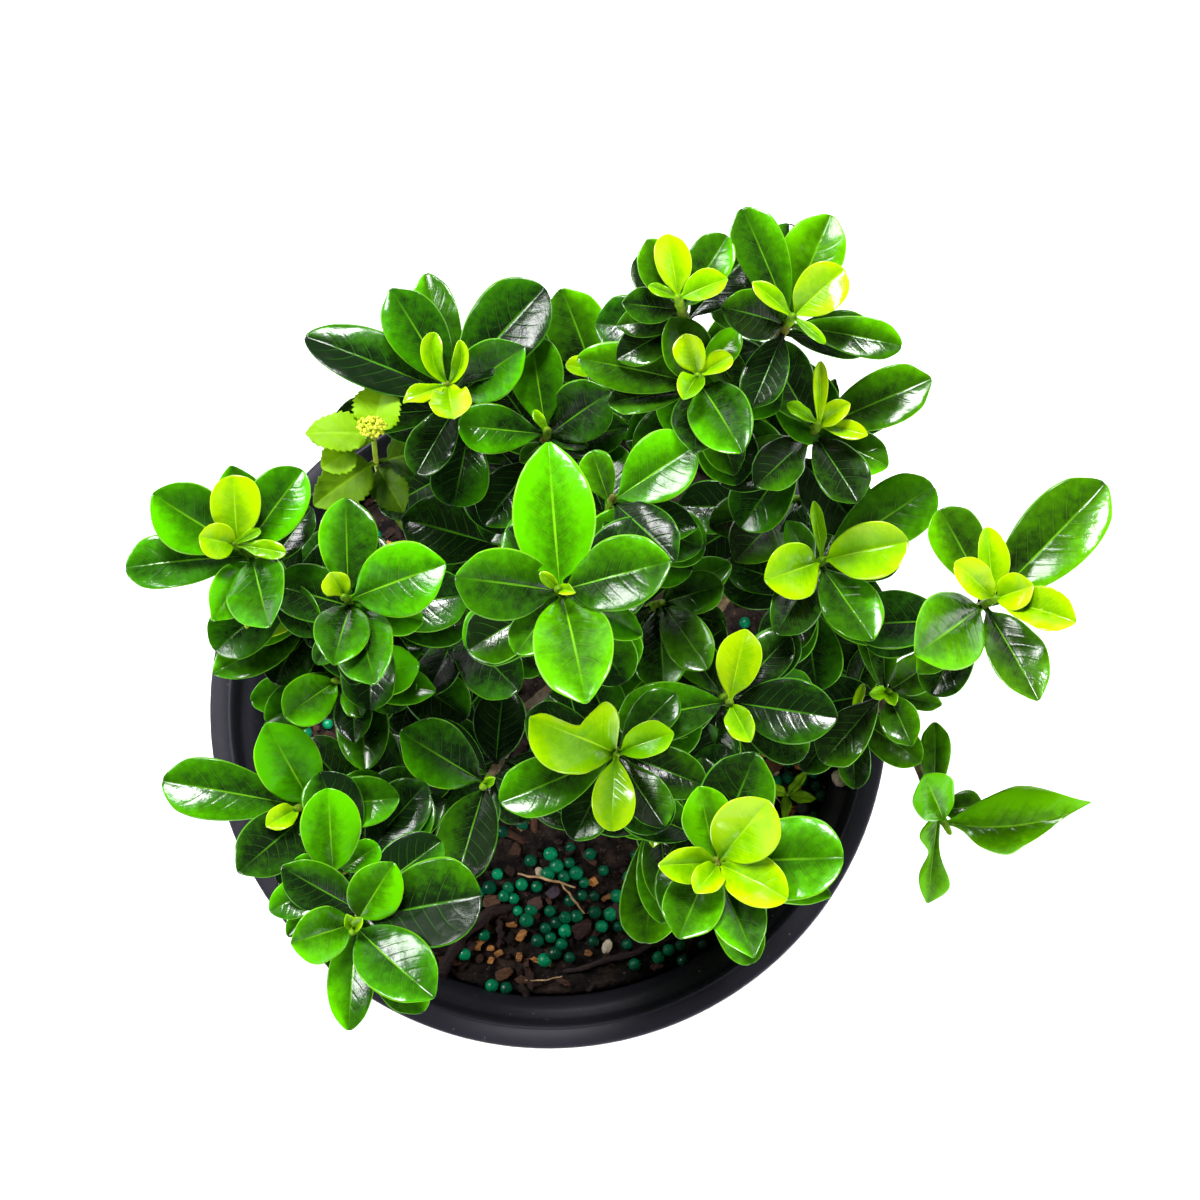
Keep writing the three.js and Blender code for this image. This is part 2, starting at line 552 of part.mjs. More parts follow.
// A leaf's own share of the plant's variety, from its number.
function character(number, youth) {
  return {
    arch: LEAF.arch + LEAF.archSpread * (draw(number) - 0.5),
    fold: LEAF.fold + LEAF.foldSpread * draw(number + 0.3) + (youth ? LEAF.youngFold : 0),
    roll: LEAF.rollSpread * (draw(number + 0.6) - 0.5),
  };
}

function rowsOf(shoot, shootNumber) {
  const young = (shoot.young ?? []).map((row, k) => ({ row, level: -1, order: k, youth: true }));
  const leaves = shoot.leaves.map((row, k) => ({ row, level: Math.floor(k / 2), order: k, youth: false }));
  const levels = Math.ceil(shoot.leaves.length / 2);
  const older = [];
  for (let k = 0; k < 2 * shoot.older; k++) {
    const pair = Math.floor(k / 2);
    const chance = draw(shootNumber * 31 + k);
    const turn = UNDER.turn * pair + UNDER.shootTurn * shootNumber + UNDER.turnSpread * chance;
    const length = UNDER.length + UNDER.spread * (chance - 0.5);
    const row = [turn + 180 * (k % 2), length, UNDER.lift - UNDER.droop * pair, length * UNDER.width];
    older.push({ row, level: levels + pair, order: shoot.leaves.length + k, youth: false });
  }
  return [...young, ...leaves, ...older];
}

// The leaf of a row on its axis, after one adjustment.
function placedLeaf(item, { stem, heading }, number, change) {
  const [azimuth, length, lift, width] = item.row;
  let root;
  if (item.youth) {
    const out = GAP + BUD.first + BUD.pitch * item.order;
    root = stem.centres.at(-1).clone().addScaledVector(heading, out);
  } else {
    root = beforeEnd(stem.centres, PAIRS.first + PAIRS.pitch * item.level + change.slide);
  }
  const turned = radians(azimuth + change.swing);
  root.x += STEM.sunk * Math.cos(turned);
  root.y += STEM.sunk * Math.sin(turned);
  return {
    root,
    azimuth: azimuth + change.swing,
    length: length * change.scale,
    lift: lift + change.lift,
    width: width * change.scale,
    ...character(number, item.youth),
  };
}

function formOf(leaf) {
  if (leaf.length < TINY) return FORMS.tiny;
  return leaf.length > LARGE ? FORMS.large : FORMS.small;
}

// Boxes first, because most pairs are far apart, then the solids themselves.
function meets(a, b) {
  for (const k of [0, 1, 2]) if (a.box.min[k] > b.box.max[k] || b.box.min[k] > a.box.max[k]) return false;
  return !a.solid.intersect(b.solid).isEmpty();
}
const boxed = (solid, owner) => ({ solid, owner, box: solid.boundingBox() });

// Places every leaf in turn, from the top of the plant down; one that finds no free room is left out.
function growLeaves(shoots, obstacles) {
  const queue = shoots.flatMap((shoot) => shoot.items.map((item, k) => ({ shoot, item, k })));
  queue.sort((a, b) => a.item.level - b.item.level);
  const blades = [];
  for (const { shoot, item, k } of queue) {
    const owner = item.youth ? shoot.name + "_young" : shoot.name;
    for (const change of ADJUSTMENTS) {
      if (item.youth && change.slide !== 0) continue;
      const below = PAIRS.first + PAIRS.pitch * item.level + change.slide;
      if (!item.youth && (below < 1 || below > shoot.leafy - 2)) continue;
      const leaf = placedLeaf(item, shoot, shoot.number * 40 + k, change);
      const room = boxed(blade(leaf, formOf(leaf), SPARE));
      if (obstacles.some((other) => other.owner !== owner && meets(room, other))) continue;
      if (blades.some((other) => other.owner !== owner && meets(room, other))) continue;
      const outer = boxed(blade(leaf, FORMS.outer, SPARE / 2, LEAF.clear));
      if (blades.some((other) => other.owner === owner && meets(outer, other.outer))) continue;
      const made = boxed(blade(leaf, formOf(leaf)), owner);
      blades.push({ ...made, outer: boxed(blade(leaf, FORMS.outer, 0, LEAF.clear)) });
      break;
    }
  }
  return blades;
}

// ---------------------------------------------------------------- small wild plants
function wildSolid(plant, form) {
  const axis = smoothThrough(plant.stem.map(vector));
  const total = axis.getLength();
  const blades = plant.leaves.map(([azimuth, length, lift, width, below], k) => {
    const root = axis.getPointAt((total - below) / total);
    return blade({ root, azimuth, length, lift, width, ...character(WILD.firstNumber + k, false) }, form);
  });
  return union([tube(axis, plant.radius, WILD.steps), ...blades]);
}

// The flower head: small round florets that touch one another, just past the stem's top.
function floretSolid() {
  const { count, radius, turn, spacing, step } = WEED.florets;
  const top = vector(WEED.stem.at(-1)).addScaledVector(UP, GAP + radius);
  const florets = [];
  for (let k = 0; k < count; k++) {
    const out = spacing * radius * Math.sqrt(k);
    const shift = new THREE.Vector3(out * Math.cos(turn * k), out * Math.sin(turn * k), step * (k % 3));
    const centre = shift.add(top).toArray();
    florets.push(solidOf(new THREE.OctahedronGeometry(radius, 0).translate(...centre)));
  }
  return union(florets);
}

// ---------------------------------------------------------------- assembly
const plant = new THREE.Group();
function addPart(name, solid, material) {
  const mesh = new THREE.Mesh(geometryOf(solid), material);
  mesh.name = name;
  plant.add(mesh);
}

const shoots = SHOOTS.map((shoot, number) => {
  const axis = shootAxis(shoot);
  const leafy = leafyLength(shoot, axis);
  const heading = axis.getTangent(1);
  const stem = leafyStem(shoot, axis);
  return { name: shoot.name, number, stem, leafy, heading, items: rowsOf(shoot, number) };
});
const stems = shoots.map(({ name, stem: { curve, steps } }) =>
  boxed(tube(curve, STEM.leafy, steps, STEM.young / STEM.leafy), name),
);
const buds = shoots
  .filter((shoot) => shoot.items[0].youth)
  .map(({ name, stem, heading }) => {
    const foot = stem.centres.at(-1).clone().addScaledVector(heading, GAP);
    const line = new THREE.LineCurve3(foot, foot.clone().addScaledVector(heading, BUD.length));
    return boxed(tube(line, STEM.young, 1, BUD.taper), name + "_young");
  });
const roots = [[TRUNK.foot, TRUNK.hole], [WEED.stem[0], WEED.hole], [SEEDLING.stem[0], SEEDLING.hole]].map(
  ([[x, y, z], hole]) => ({ x, y, z, hole }),
);
const fixed = {
  pot: boxed(potSolid(), "pot"),
  soil: boxed(soilSolid(roots), "soil"),
  woody_stems: boxed(woodSolid(), "woody_stems"),
  weed: boxed(wildSolid(WEED, FORMS.toothed), "weed"),
  weed_flowers: boxed(floretSolid(), "weed_flowers"),
  seedling: boxed(wildSolid(SEEDLING, FORMS.small), "seedling"),
};
const blades = growLeaves(shoots, [...Object.values(fixed), ...stems, ...buds]);

addPart("pot", fixed.pot.solid, MATERIAL.pot);
addPart("soil", fixed.soil.solid, MATERIAL.soil);
addPart("woody_stems", fixed.woody_stems.solid, MATERIAL.bark);
for (const stem of [...stems, ...buds]) {
  const own = blades.filter((other) => other.owner === stem.owner).map((other) => other.solid);
  const material = stem.owner.endsWith("_young") ? MATERIAL.young : MATERIAL.leaf;
  addPart(stem.owner, union([stem.solid, ...own]), material);
}
addPart("weed", fixed.weed.solid, MATERIAL.weed);
addPart("weed_flowers", fixed.weed_flowers.solid, MATERIAL.floret);
addPart("seedling", fixed.seedling.solid, MATERIAL.weed);

export default plant;
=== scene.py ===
# %% [markdown]
# # A potted dwarf gardenia
# A black nursery pot holds a low, many-stemmed shrub with glossy leaves, seen almost from straight
# above. The solid model of the plant is already there as a fixed frame, with every leaf at its place as
# a few flat facets. This lesson dresses it: each leafy stem gets smooth, veined, waxy blades exactly
# where the facets are, and the pot, the soil and the wood get their real surfaces.

# %% Load the frame
import math
from itertools import product

import bpy
import numpy as np
from mathutils import Matrix, Vector
from mathutils.kdtree import KDTree


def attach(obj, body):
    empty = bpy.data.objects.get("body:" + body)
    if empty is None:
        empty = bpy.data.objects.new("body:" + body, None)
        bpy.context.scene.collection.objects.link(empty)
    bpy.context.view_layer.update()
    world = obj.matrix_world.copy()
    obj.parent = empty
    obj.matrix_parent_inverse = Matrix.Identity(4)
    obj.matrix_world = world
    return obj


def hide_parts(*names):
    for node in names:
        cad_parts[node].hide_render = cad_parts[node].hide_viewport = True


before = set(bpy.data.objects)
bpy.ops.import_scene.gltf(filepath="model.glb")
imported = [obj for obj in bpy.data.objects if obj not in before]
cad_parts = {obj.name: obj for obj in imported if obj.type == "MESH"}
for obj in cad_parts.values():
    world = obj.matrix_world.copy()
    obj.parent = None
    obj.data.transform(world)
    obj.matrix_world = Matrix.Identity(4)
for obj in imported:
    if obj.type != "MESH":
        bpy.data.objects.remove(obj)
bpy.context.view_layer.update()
MM = 0.001  # the plant is worked out in millimetres, as the solids were, and Blender wants metres
print("nodes in the frame:", len(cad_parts))

# %% [markdown]
# ## The camera
# The photograph looks down at 85 degrees. The eye's place was found from the ellipse of the pot's rim
# and from how much larger the high leaves look than the low ones. A camera at zero turn looks straight
# down its own Z axis, so tipping it 5 degrees about X gives the view. Depth of field stays off.

# %% Camera
PICTURE_WIDTH, FOCAL_PIXELS = 1200, 2380  # both in pixels of the photograph
SENSOR_WIDTH = 36  # mm
EYE = (15, -30.2, 885)  # mm
TIPPED = math.radians(5)

camera_data = bpy.data.cameras.new("camera")
camera_data.sensor_width = SENSOR_WIDTH
camera_data.lens = camera_data.sensor_width * FOCAL_PIXELS / PICTURE_WIDTH
camera = bpy.data.objects.new("camera", camera_data)
camera.location = Vector(EYE) * MM
camera.rotation_euler = (TIPPED, 0, 0)
bpy.context.scene.collection.objects.link(camera)
bpy.context.scene.camera = camera
print(f"lens {camera_data.lens:.1f} mm at {camera.location[2]:.3f} m")

# %% [markdown]
# ## Shader maths
# A material is a net of nodes, and a net is hard to read. The class below wraps one output socket, so
# that a formula can be written as an ordinary expression: each operator adds its Math node and wraps the
# result. Colours are mixed by `blend`, since a Math node would turn a colour grey. Every other node comes
# from `node`, which sets the node's own settings first and then its sockets, by value or by link.

# %% A socket that can be calculated with
class Value:
    def __init__(self, finish, socket):
        self.finish = finish
        self.socket = socket

    def math(self, operation, *others):
        sockets = dict(enumerate([self, *others]))
        return self.finish.node("ShaderNodeMath", {"operation": operation}, sockets)

    def __add__(self, other):
        return self.math("ADD", other)

    def __sub__(self, other):
        return self.math("SUBTRACT", other)

    def __rsub__(self, other):
        return self.math("MULTIPLY", -1).math("ADD", other)

    def __mul__(self, other):
        return self.math("MULTIPLY", other)

    def __abs__(self):
        return self.math("ABSOLUTE")

    __radd__ = __add__
    __rmul__ = __mul__

    def part(self, name):
        """Another output of the same node."""
        return Value(self.finish, self.socket.node.outputs[name])

    def between(self, low, high):
        """0 where the value is at `low`, 1 at `high`, with a soft start and end."""
        sockets = {"Value": self, "From Min": low, "From Max": high}
        return self.finish.node("ShaderNodeMapRange", {"interpolation_type": "SMOOTHSTEP"}, sockets)


# %% A material while it is put together
COLOUR_FACTOR, COLOUR_A, COLOUR_B, COLOUR_RESULT = 0, 6, 7, 2  # the Mix node's sockets for colours


class Finish:
    def __init__(self, name, owner=None):
        self.material = owner or bpy.data.materials.new(name)
        self.material.use_nodes = True
        self.tree = self.material.node_tree
        self.tree.nodes.clear()

    def node(self, kind, settings=None, sockets=None, output=0):
        made = self.tree.nodes.new(kind)
        for name, value in (settings or {}).items():
            setattr(made, name, value)
        for name, value in (sockets or {}).items():
            if isinstance(value, Value):
                self.tree.links.new(value.socket, made.inputs[name])
            else:
                made.inputs[name].default_value = value
        return Value(self, made.outputs[output])

    def blend(self, factor, first, second, how="MIX"):
        """From the first colour to the second, as the factor goes from 0 to 1."""
        first, second = (c if isinstance(c, Value) else (*c, 1) for c in (first, second))
        settings = {"data_type": "RGBA", "blend_type": how}
        sockets = {COLOUR_FACTOR: factor, COLOUR_A: first, COLOUR_B: second}
        return self.node("ShaderNodeMix", settings, sockets, COLOUR_RESULT)

    def place(self, kind="Object"):
        """A point of the object in metres, which is the same in every view."""
        return self.node("ShaderNodeTexCoord", output=kind)

    def height(self, kind="Object"):
        return self.node("ShaderNodeSeparateXYZ", {}, {"Vector": self.place(kind)}, output="Z")

    def stretched(self, x, y, z):
        """Places whose axes are scaled, so that a pattern on them runs in streaks."""
        return self.node("ShaderNodeMapping", {}, {"Vector": self.place(), "Scale": (x, y, z)})

    def on_blade(self):
        """How far a point is from the midrib, 1 at the margin, and from the stalk, 1 at the tip."""
        blade_map = self.node("ShaderNodeUVMap", {"uv_map": "blade"})
        across = self.node("ShaderNodeSeparateXYZ", {}, {"Vector": blade_map})
        return abs(across * 2 - 1), across.part("Y")

    def noise(self, scale, detail=3, roughness=0.5, at=None):
        sockets = {"Vector": at or self.place(), "Scale": scale, "Detail": detail, "Roughness": roughness}
        return self.node("ShaderNodeTexNoise", {}, sockets)

    def cells(self, scale):
        return self.node("ShaderNodeTexVoronoi", {}, {"Vector": self.place(), "Scale": scale})

    def attribute(self, name):
        return self.node("ShaderNodeAttribute", {"attribute_name": name}, output="Fac")

    def bump(self, height, strength, distance):
        sockets = {"Height": height, "Strength": strength, "Distance": distance}
        return self.node("ShaderNodeBump", {}, sockets)

    def shaded(self, colour, roughness, normal=None, **constant):
        """Ends the net in one Principled shader. Constants go straight on its own sockets."""
        sockets = {"Base Color": colour, "Roughness": roughness}
        if normal is not None:
            sockets["Normal"] = normal
        sockets.update({name.replace("_", " "): value for name, value in constant.items()})
        return self.ended(self.node("ShaderNodeBsdfPrincipled", {}, sockets))

    def ended(self, shader, kind="ShaderNodeOutputMaterial"):
        out = self.tree.nodes.new(kind)
        self.tree.links.new(shader.socket, out.inputs["Surface"])
        return self.material


print("shader operators:", [name for name in vars(Value) if name.startswith("__r")])

# %% [markdown]
# ## Light and floor
# The photograph is a bright cut-out on white. Its leaves are lit evenly from all around, yet those that
# face straight up show their pure green, so nothing bright hangs above them: waxy leaves mirror whatever
# is there. The sky here is dark overhead and pale only near the horizon, like a white room with a dark
# ceiling. Four soft panels stand round the plant, the strongest one high in the north, where the white
# patches on the leaves come from; the two that only fill the shadows leave no reflection. The floor glows
# a little, and more far out where no lamp reaches, so that it stays white all round.
# Blender's Standard view keeps the strong greens.

# %% Sky and lamps
bpy.context.scene.view_settings.view_transform = "Standard"
CEILING, WALL, HORIZON = 0.02, 0.05, 0.85  # how bright the room is overhead, low down and at the horizon
GLOW_NEAR, GLOW_FAR = (0.25, 0.25, 0.25), (0.8, 0.8, 0.8)
TARGET = (10, 0, 220)


def studio():
    room = Finish("studio", bpy.data.worlds.new("studio"))
    upward = room.height("Generated")  # 0 at the horizon, 1 overhead
    strength = upward.between(0.65, 0.3) * WALL + upward.between(0.3, 0.06) * HORIZON + CEILING
    return room.ended(room.node("ShaderNodeBackground", {}, {"Strength": strength}), "ShaderNodeOutputWorld")


bpy.context.scene.world = studio()


def panel(name, place, width, height, power, mirrored=True):
    """A rectangular lamp at a place in millimetres, turned to the plant."""
    data = bpy.data.lights.new(name, "AREA")
    data.shape = "RECTANGLE"
    data.size = width
    data.size_y = height
    data.energy = power
    lamp = bpy.data.objects.new(name, data)
    lamp.visible_glossy = mirrored
    lamp.location = Vector(place) * MM
    lamp.rotation_euler = (Vector(TARGET) - Vector(place)).to_track_quat("-Z", "Y").to_euler()
    bpy.context.scene.collection.objects.link(lamp)


panel("window", (-150, 900, 1720), 0.5, 0.42, 54)
panel("side_window", (-1300, 500, 1200), 0.5, 0.5, 26)
panel("fill_south", (200, -1500, 800), 1.0, 1.0, 26, mirrored=False)
panel("fill_east", (1500, 100, 700), 1.0, 1.0, 30, mirrored=False)

# %% Floor
FLOOR_HALF = 5.0  # metres
LAMPLIGHT_ENDS, GLOW_FULL = 0.4, 2.2  # metres from the pot, between which the floor's own glow grows


def floor_finish():
    finish = Finish("pale_floor")
    speckle = finish.noise(35, detail=6)
    colour = finish.blend(speckle, (0.86, 0.86, 0.86), (0.92, 0.92, 0.92))
    away = finish.node("ShaderNodeVectorMath", {"operation": "LENGTH"}, {0: finish.place()}, output="Value")
    glow = finish.blend(away.between(LAMPLIGHT_ENDS, GLOW_FULL), GLOW_NEAR, GLOW_FAR)
    return finish.shaded(colour, speckle * 0.1 + 0.55, Emission_Color=glow, Emission_Strength=1.0)


floor_mesh = bpy.data.meshes.new("floor")
corners = [(x * FLOOR_HALF, y * FLOOR_HALF, 0) for x, y in ((-1, -1), (1, -1), (1, 1), (-1, 1))]
floor_mesh.from_pydata(corners, [], [(0, 1, 2, 3)])
floor_mesh.materials.append(floor_finish())
floor = bpy.data.objects.new("floor", floor_mesh)
bpy.context.scene.collection.objects.link(floor)
print("floor:", 2 * FLOOR_HALF, "m wide")

# %% [markdown]
# ## Meshes from rows of points
# Everything here is made of rows of points: rings round a stem, rows across a leaf, circles round the
# pot. A small class collects the points and faces of one piece, with the values that its material reads,
# and turns them into one mesh. Working with whole arrays keeps hundreds of leaves fast to make.

# %% A piece while it is put together
SHADES = ("fresh", "lime", "under")  # how light, how yellow, and which side: read by the leaf finishes


class Draft:
    def __init__(self):
        self.points, self.faces, self.face_slots, self.uv = [], [], [], []
        self.shades = {name: [] for name in SHADES}
        self.count = 0

    def add(self, points, faces, slot=0, uv=None, **shades):
        points = np.asarray(points, float).reshape(-1, 3)
        self.faces += [tuple(int(i) + self.count for i in face) for face in faces]
        self.face_slots += [slot] * len(faces)
        self.points.append(points)
        self.uv.append(np.zeros((len(points), 2)) if uv is None else np.asarray(uv, float).reshape(-1, 2))
        for name in SHADES:
            self.shades[name].append(np.broadcast_to(shades.get(name, 0.0), len(points)).astype(float))
        self.count += len(points)

    def piece(self, name, finishes, slot=None, replaced=(), smooth=True):
        mesh = bpy.data.meshes.new(name)
        mesh.from_pydata((np.concatenate(self.points) * MM).tolist(), [], self.faces)
        for finish in finishes:
            mesh.materials.append(finish)
        mesh.polygons.foreach_set("material_index", self.face_slots)
        mesh.polygons.foreach_set("use_smooth", [smooth] * len(self.faces))
        corner = np.zeros(len(mesh.loops), int)
        mesh.loops.foreach_get("vertex_index", corner)
        mesh.uv_layers.new(name="blade").data.foreach_set("uv", np.concatenate(self.uv)[corner].ravel())
        for shade in SHADES:
            values = np.concatenate(self.shades[shade]).astype(np.float32)
            mesh.attributes.new(shade, "FLOAT", "POINT").data.foreach_set("value", values)
        mesh.update()
        made = bpy.data.objects.new(name, mesh)
        bpy.context.scene.collection.objects.link(made)
        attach(made, "root")
        if replaced:
            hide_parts(*replaced)
        return made


# %% Faces between rows, and rings swept along a line
def faces_between(rings, sides):
    """Four-sided faces from each ring of points to the next."""
    faces = []
    for i in range(rings - 1):
        for j in range(sides):
            k = (j + 1) % sides
            faces.append((i * sides + j, i * sides + k, (i + 1) * sides + k, (i + 1) * sides + j))
    return faces


def tube_faces(rings, sides):
    """The same, with one more face over each end."""
    last = (rings - 1) * sides
    ends = [tuple(range(sides))[::-1], tuple(last + j for j in range(sides))]
    return faces_between(rings, sides) + ends


def swept(path, radii, sides, relief=None):
    """Rings round a line of points, and the faces that close them. `relief` adds to each radius."""
    path = np.asarray(path, float)
    ahead = np.gradient(path, axis=0)
    ahead /= np.linalg.norm(ahead, axis=1)[:, None]
    aside = np.cross(ahead[0], (0.3, 1, 0.2))
    angles = np.linspace(0, 2 * np.pi, sides, endpoint=False)
    rings = []
    for k, (centre, forward) in enumerate(zip(path, ahead)):
        aside = aside - forward * aside.dot(forward)
        aside /= np.linalg.norm(aside)
        over = np.cross(forward, aside)
        radius = radii[k] + (0 if relief is None else relief[k])
        spoke = np.cos(angles)[:, None] * aside + np.sin(angles)[:, None] * over
        rings.append(centre + spoke * np.broadcast_to(radius, sides)[:, None])
    return np.concatenate(rings), tube_faces(len(path), sides)


def draw(seed):
    """A repeatable draw between 0 and 1, the same one that the solids were made with."""
    value = math.sin(seed * 12.9898 + 4.1414) * 43758.5453
    return value - math.floor(value)


def unit(v):
    return np.asarray(v, float) / np.linalg.norm(v)


def eased(x, low, high):
    """0 below `low`, 1 above `high`, and a smooth rise between."""
    t = np.clip((np.asarray(x, float) - low) / (high - low), 0, 1)
    return t * t * (3 - 2 * t)


print("shades per point:", SHADES)

# %% [markdown]
# ## Curves that agree with the solids
# The stems have to run where the solid ones do, so the two kinds of curve are worked out the same way:
# a smooth line through given points for the limbs, and one bend from the limb to the growing tip for
# each shoot. Points are read by length along the curve, from a table of 200 short steps.

# %% Curves
class Curve:
    STEPS = 200

    def __init__(self, point):
        self.point = point
        self.shares = np.linspace(0, 1, self.STEPS + 1)
        samples = np.array([point(t) for t in self.shares])
        steps = np.linalg.norm(np.diff(samples, axis=0), axis=1)
        self.run = np.concatenate([[0], np.cumsum(steps)])
        self.length = self.run[-1]

    def at(self, distance):
        return self.point(np.interp(np.clip(distance, 0, self.length), self.run, self.shares))

    def spaced(self, steps, start=0.0, end=None):
        end = self.length if end is None else end
        return np.array([self.at(start + (end - start) * k / steps) for k in range(steps + 1)])


def through(points):
    """A smooth curve through points, each bend set by the points before and after it."""
    points = [np.asarray(p, float) for p in points]
    known = [2 * points[0] - points[1], *points, 2 * points[-1] - points[-2]]

    def point(t):
        k = min(int(t * (len(points) - 1)), len(points) - 2)
        w = t * (len(points) - 1) - k
        before, start, end, after = known[k : k + 4]
        rise, fall = (end - before) / 2, (after - start) / 2
        cubic = 2 * start - 2 * end + rise + fall
        square = 3 * (end - start) - 2 * rise - fall
        return start + w * (rise + w * (square + w * cubic))

    return Curve(point)


def bend(p0, p1, p2, p3):
    def point(t):
        return (1 - t) ** 3 * p0 + 3 * (1 - t) ** 2 * t * p1 + 3 * (1 - t) * t**2 * p2 + t**3 * p3

    return Curve(point)


print("test curve:", round(through([(0, 0, 0), (10, 0, 0), (20, 5, 0)]).length, 2), "mm")

# %% [markdown]
# ## The pot
# A nursery pot is blown or moulded thin: a tapered wall, a deep collar, and a flat lip round its mouth
# that catches the light. Turned once round its axis, a profile gives all of that. The mould left fine
# rings on the lip and the collar and four fine lines round the outside, so the profile carries them as
# true steps, and only the scratches, the dust and a painted sheen on the top of the lip are left to the
# material.

# %% Pot sizes, as in the solids
POT = {"height": 185, "rim": 100, "base": 72, "wall": 2.2, "floor": 3, "lip": 6.5, "band": 16, "overhang": 8}
DRAINS = {"count": 8, "radius": 5, "circle": 56}
AROUND, DRILL_DEPTH = 180, 0.03  # points round the pot, and metres
MOULD_LINES = (38, 42, 118, 122)  # heights of the fine grooves round the outside
GROOVE_DEPTH, GROOVE_HALF = 0.4, 0.7
# The rounded top of the lip, with one fine ring in it: in from the rim, and down from the top.
LIP_TOP = [(0.1, 1.2), (0.4, 0.4), (1.0, 0.05), (1.5, 0), (5.2, 0),
           (5.5, 0.25), (5.8, 0.25), (6.1, 0.05), (6.4, 0.4)]
print("pot:", 2 * POT["rim"], "mm across,", POT["height"], "mm high")


# %% Profile of the pot
def wall_radius(z):
    return np.interp(z, [0, POT["height"]], [POT["base"], POT["rim"] - POT["overhang"]])


def outside_radius(z):
    """The tapered wall, a little narrower in the grooves."""
    return wall_radius(z) - GROOVE_DEPTH * any(abs(z - line) < GROOVE_HALF for line in MOULD_LINES)


def pot_profile():
    """Radius and height round the section, from the middle of the underside, out, up and back inside."""
    base, rim, top = POT["base"], POT["rim"], POT["height"]
    lip, foot = rim - POT["lip"], top - POT["band"]
    shoulder = foot + POT["wall"]
    underside = [(0, 0.6), (40, 0.6), (44, 0), (base - 2, 0), (base - 0.6, 0.6), (base, 2)]
    outside = [(outside_radius(z), z) for z in np.linspace(8, foot - 5, 130)]
    under_collar = [(wall_radius(foot), foot - 1.2), (rim - 4, foot - 0.2), (rim - 1.6, foot),
                    (rim - 0.8, foot + 0.6), (rim - 0.6, foot + 2)]
    rings = [(rim - 0.9 - 0.35 * (k % 2), foot + 3 + 0.9 * k) for k in range(5)]
    collar = [(rim - 0.2, foot + 9), (rim, top - 2)]
    mouth = [(rim - inward, top - down) for inward, down in LIP_TOP]
    inner_collar = [(lip - 0.3, top - 3), (lip - 0.6, top - 7), (lip - 0.7, shoulder + 4),
                    (lip - 0.9, shoulder + 1.6)]
    ledge = [(lip - 1.6, shoulder + 0.5), (wall_radius(shoulder) - 0.6, shoulder + 0.1)]
    inside = [(wall_radius(z) - POT["wall"], z) for z in np.linspace(shoulder - 1.2, POT["floor"] + 3, 12)]
    bottom = [(wall_radius(POT["floor"]) - POT["wall"] - 2, POT["floor"]), (0, POT["floor"])]
    lower, upper = underside + outside + under_collar + rings + collar, mouth + inner_collar + ledge
    return lower + upper + inside + bottom


def turned(profile, around):
    """The points and faces of a profile turned round the axis; its two ends lie on the axis."""
    angles = np.linspace(0, 2 * np.pi, around, endpoint=False)
    rings = [[(r * math.cos(a), r * math.sin(a), z) for a in angles] for r, z in profile[1:-1]]
    points = np.array(rings).reshape(-1, 3)
    faces = faces_between(len(rings), around)
    points = np.vstack([points, [(0, 0, profile[0][1]), (0, 0, profile[-1][1])]])
    last = (len(rings) - 1) * around
    for j in range(around):
        k = (j + 1) % around
        faces.append((len(points) - 2, k, j))
        faces.append((len(points) - 1, last + j, last + k))
    return points, faces


print("points in the section:", len(pot_profile()))


# %% Black moulded plastic
LIP_STARTS, LIP_FULL = 0.1815, 0.184  # metres: painted light, a sheen on the flat top of the lip, which is painted a little greyer


def pot_finish():
    finish = Finish("black_plastic")
    cloud = finish.noise(14, detail=5)
    grain = finish.noise(420, detail=4, roughness=0.7)
    rubbed = finish.noise(24, detail=6, roughness=0.8, at=finish.stretched(1, 1, 26)).between(0.6, 0.78)
    dust = finish.noise(620, detail=2).between(0.72, 0.8)
    # Painted light: the flat top of the lip is painted a little greyer, as a sheen where it catches the
    # light.
    lip_top_sheen = finish.height().between(LIP_STARTS, LIP_FULL)
    colour = finish.blend(cloud, (0.007, 0.007, 0.01), (0.014, 0.013, 0.019))
    colour = finish.blend(lip_top_sheen, colour, (0.016, 0.015, 0.022))
    colour = finish.blend(rubbed * 0.35, colour, (0.042, 0.038, 0.052))
    colour = finish.blend(dust * 0.5, colour, (0.22, 0.21, 0.22))
    roughness = cloud * 0.16 + rubbed * 0.15 + 0.42
    normal = finish.bump(grain + rubbed * 0.6, 0.25, 0.0004)
    return finish.shaded(colour, roughness, normal, Specular_IOR_Level=0.2)


# %% The pot with its drainage holes
def make_pot():
    draft = Draft()
    draft.add(*turned(pot_profile(), AROUND))
    pot = draft.piece("nursery_pot", [pot_finish()], "pot_plastic", ["pot"])
    for k in range(DRAINS["count"]):
        angle = 2 * math.pi * (k + 0.5) / DRAINS["count"]
        place = Vector((math.cos(angle), math.sin(angle), 0)) * DRAINS["circle"] * MM
        size = {"radius": DRAINS["radius"] * MM, "depth": DRILL_DEPTH}
        bpy.ops.mesh.primitive_cylinder_add(vertices=32, location=place, **size)
        drill = bpy.context.object
        cut = pot.modifiers.new("drain", "BOOLEAN")
        cut.object = drill
        cut.solver = "EXACT"
        bpy.context.view_layer.objects.active = pot
        bpy.ops.object.modifier_apply(modifier=cut.name)
        bpy.data.objects.remove(drill)
    return pot


pot = make_pot()
print("pot faces:", len(pot.data.polygons))
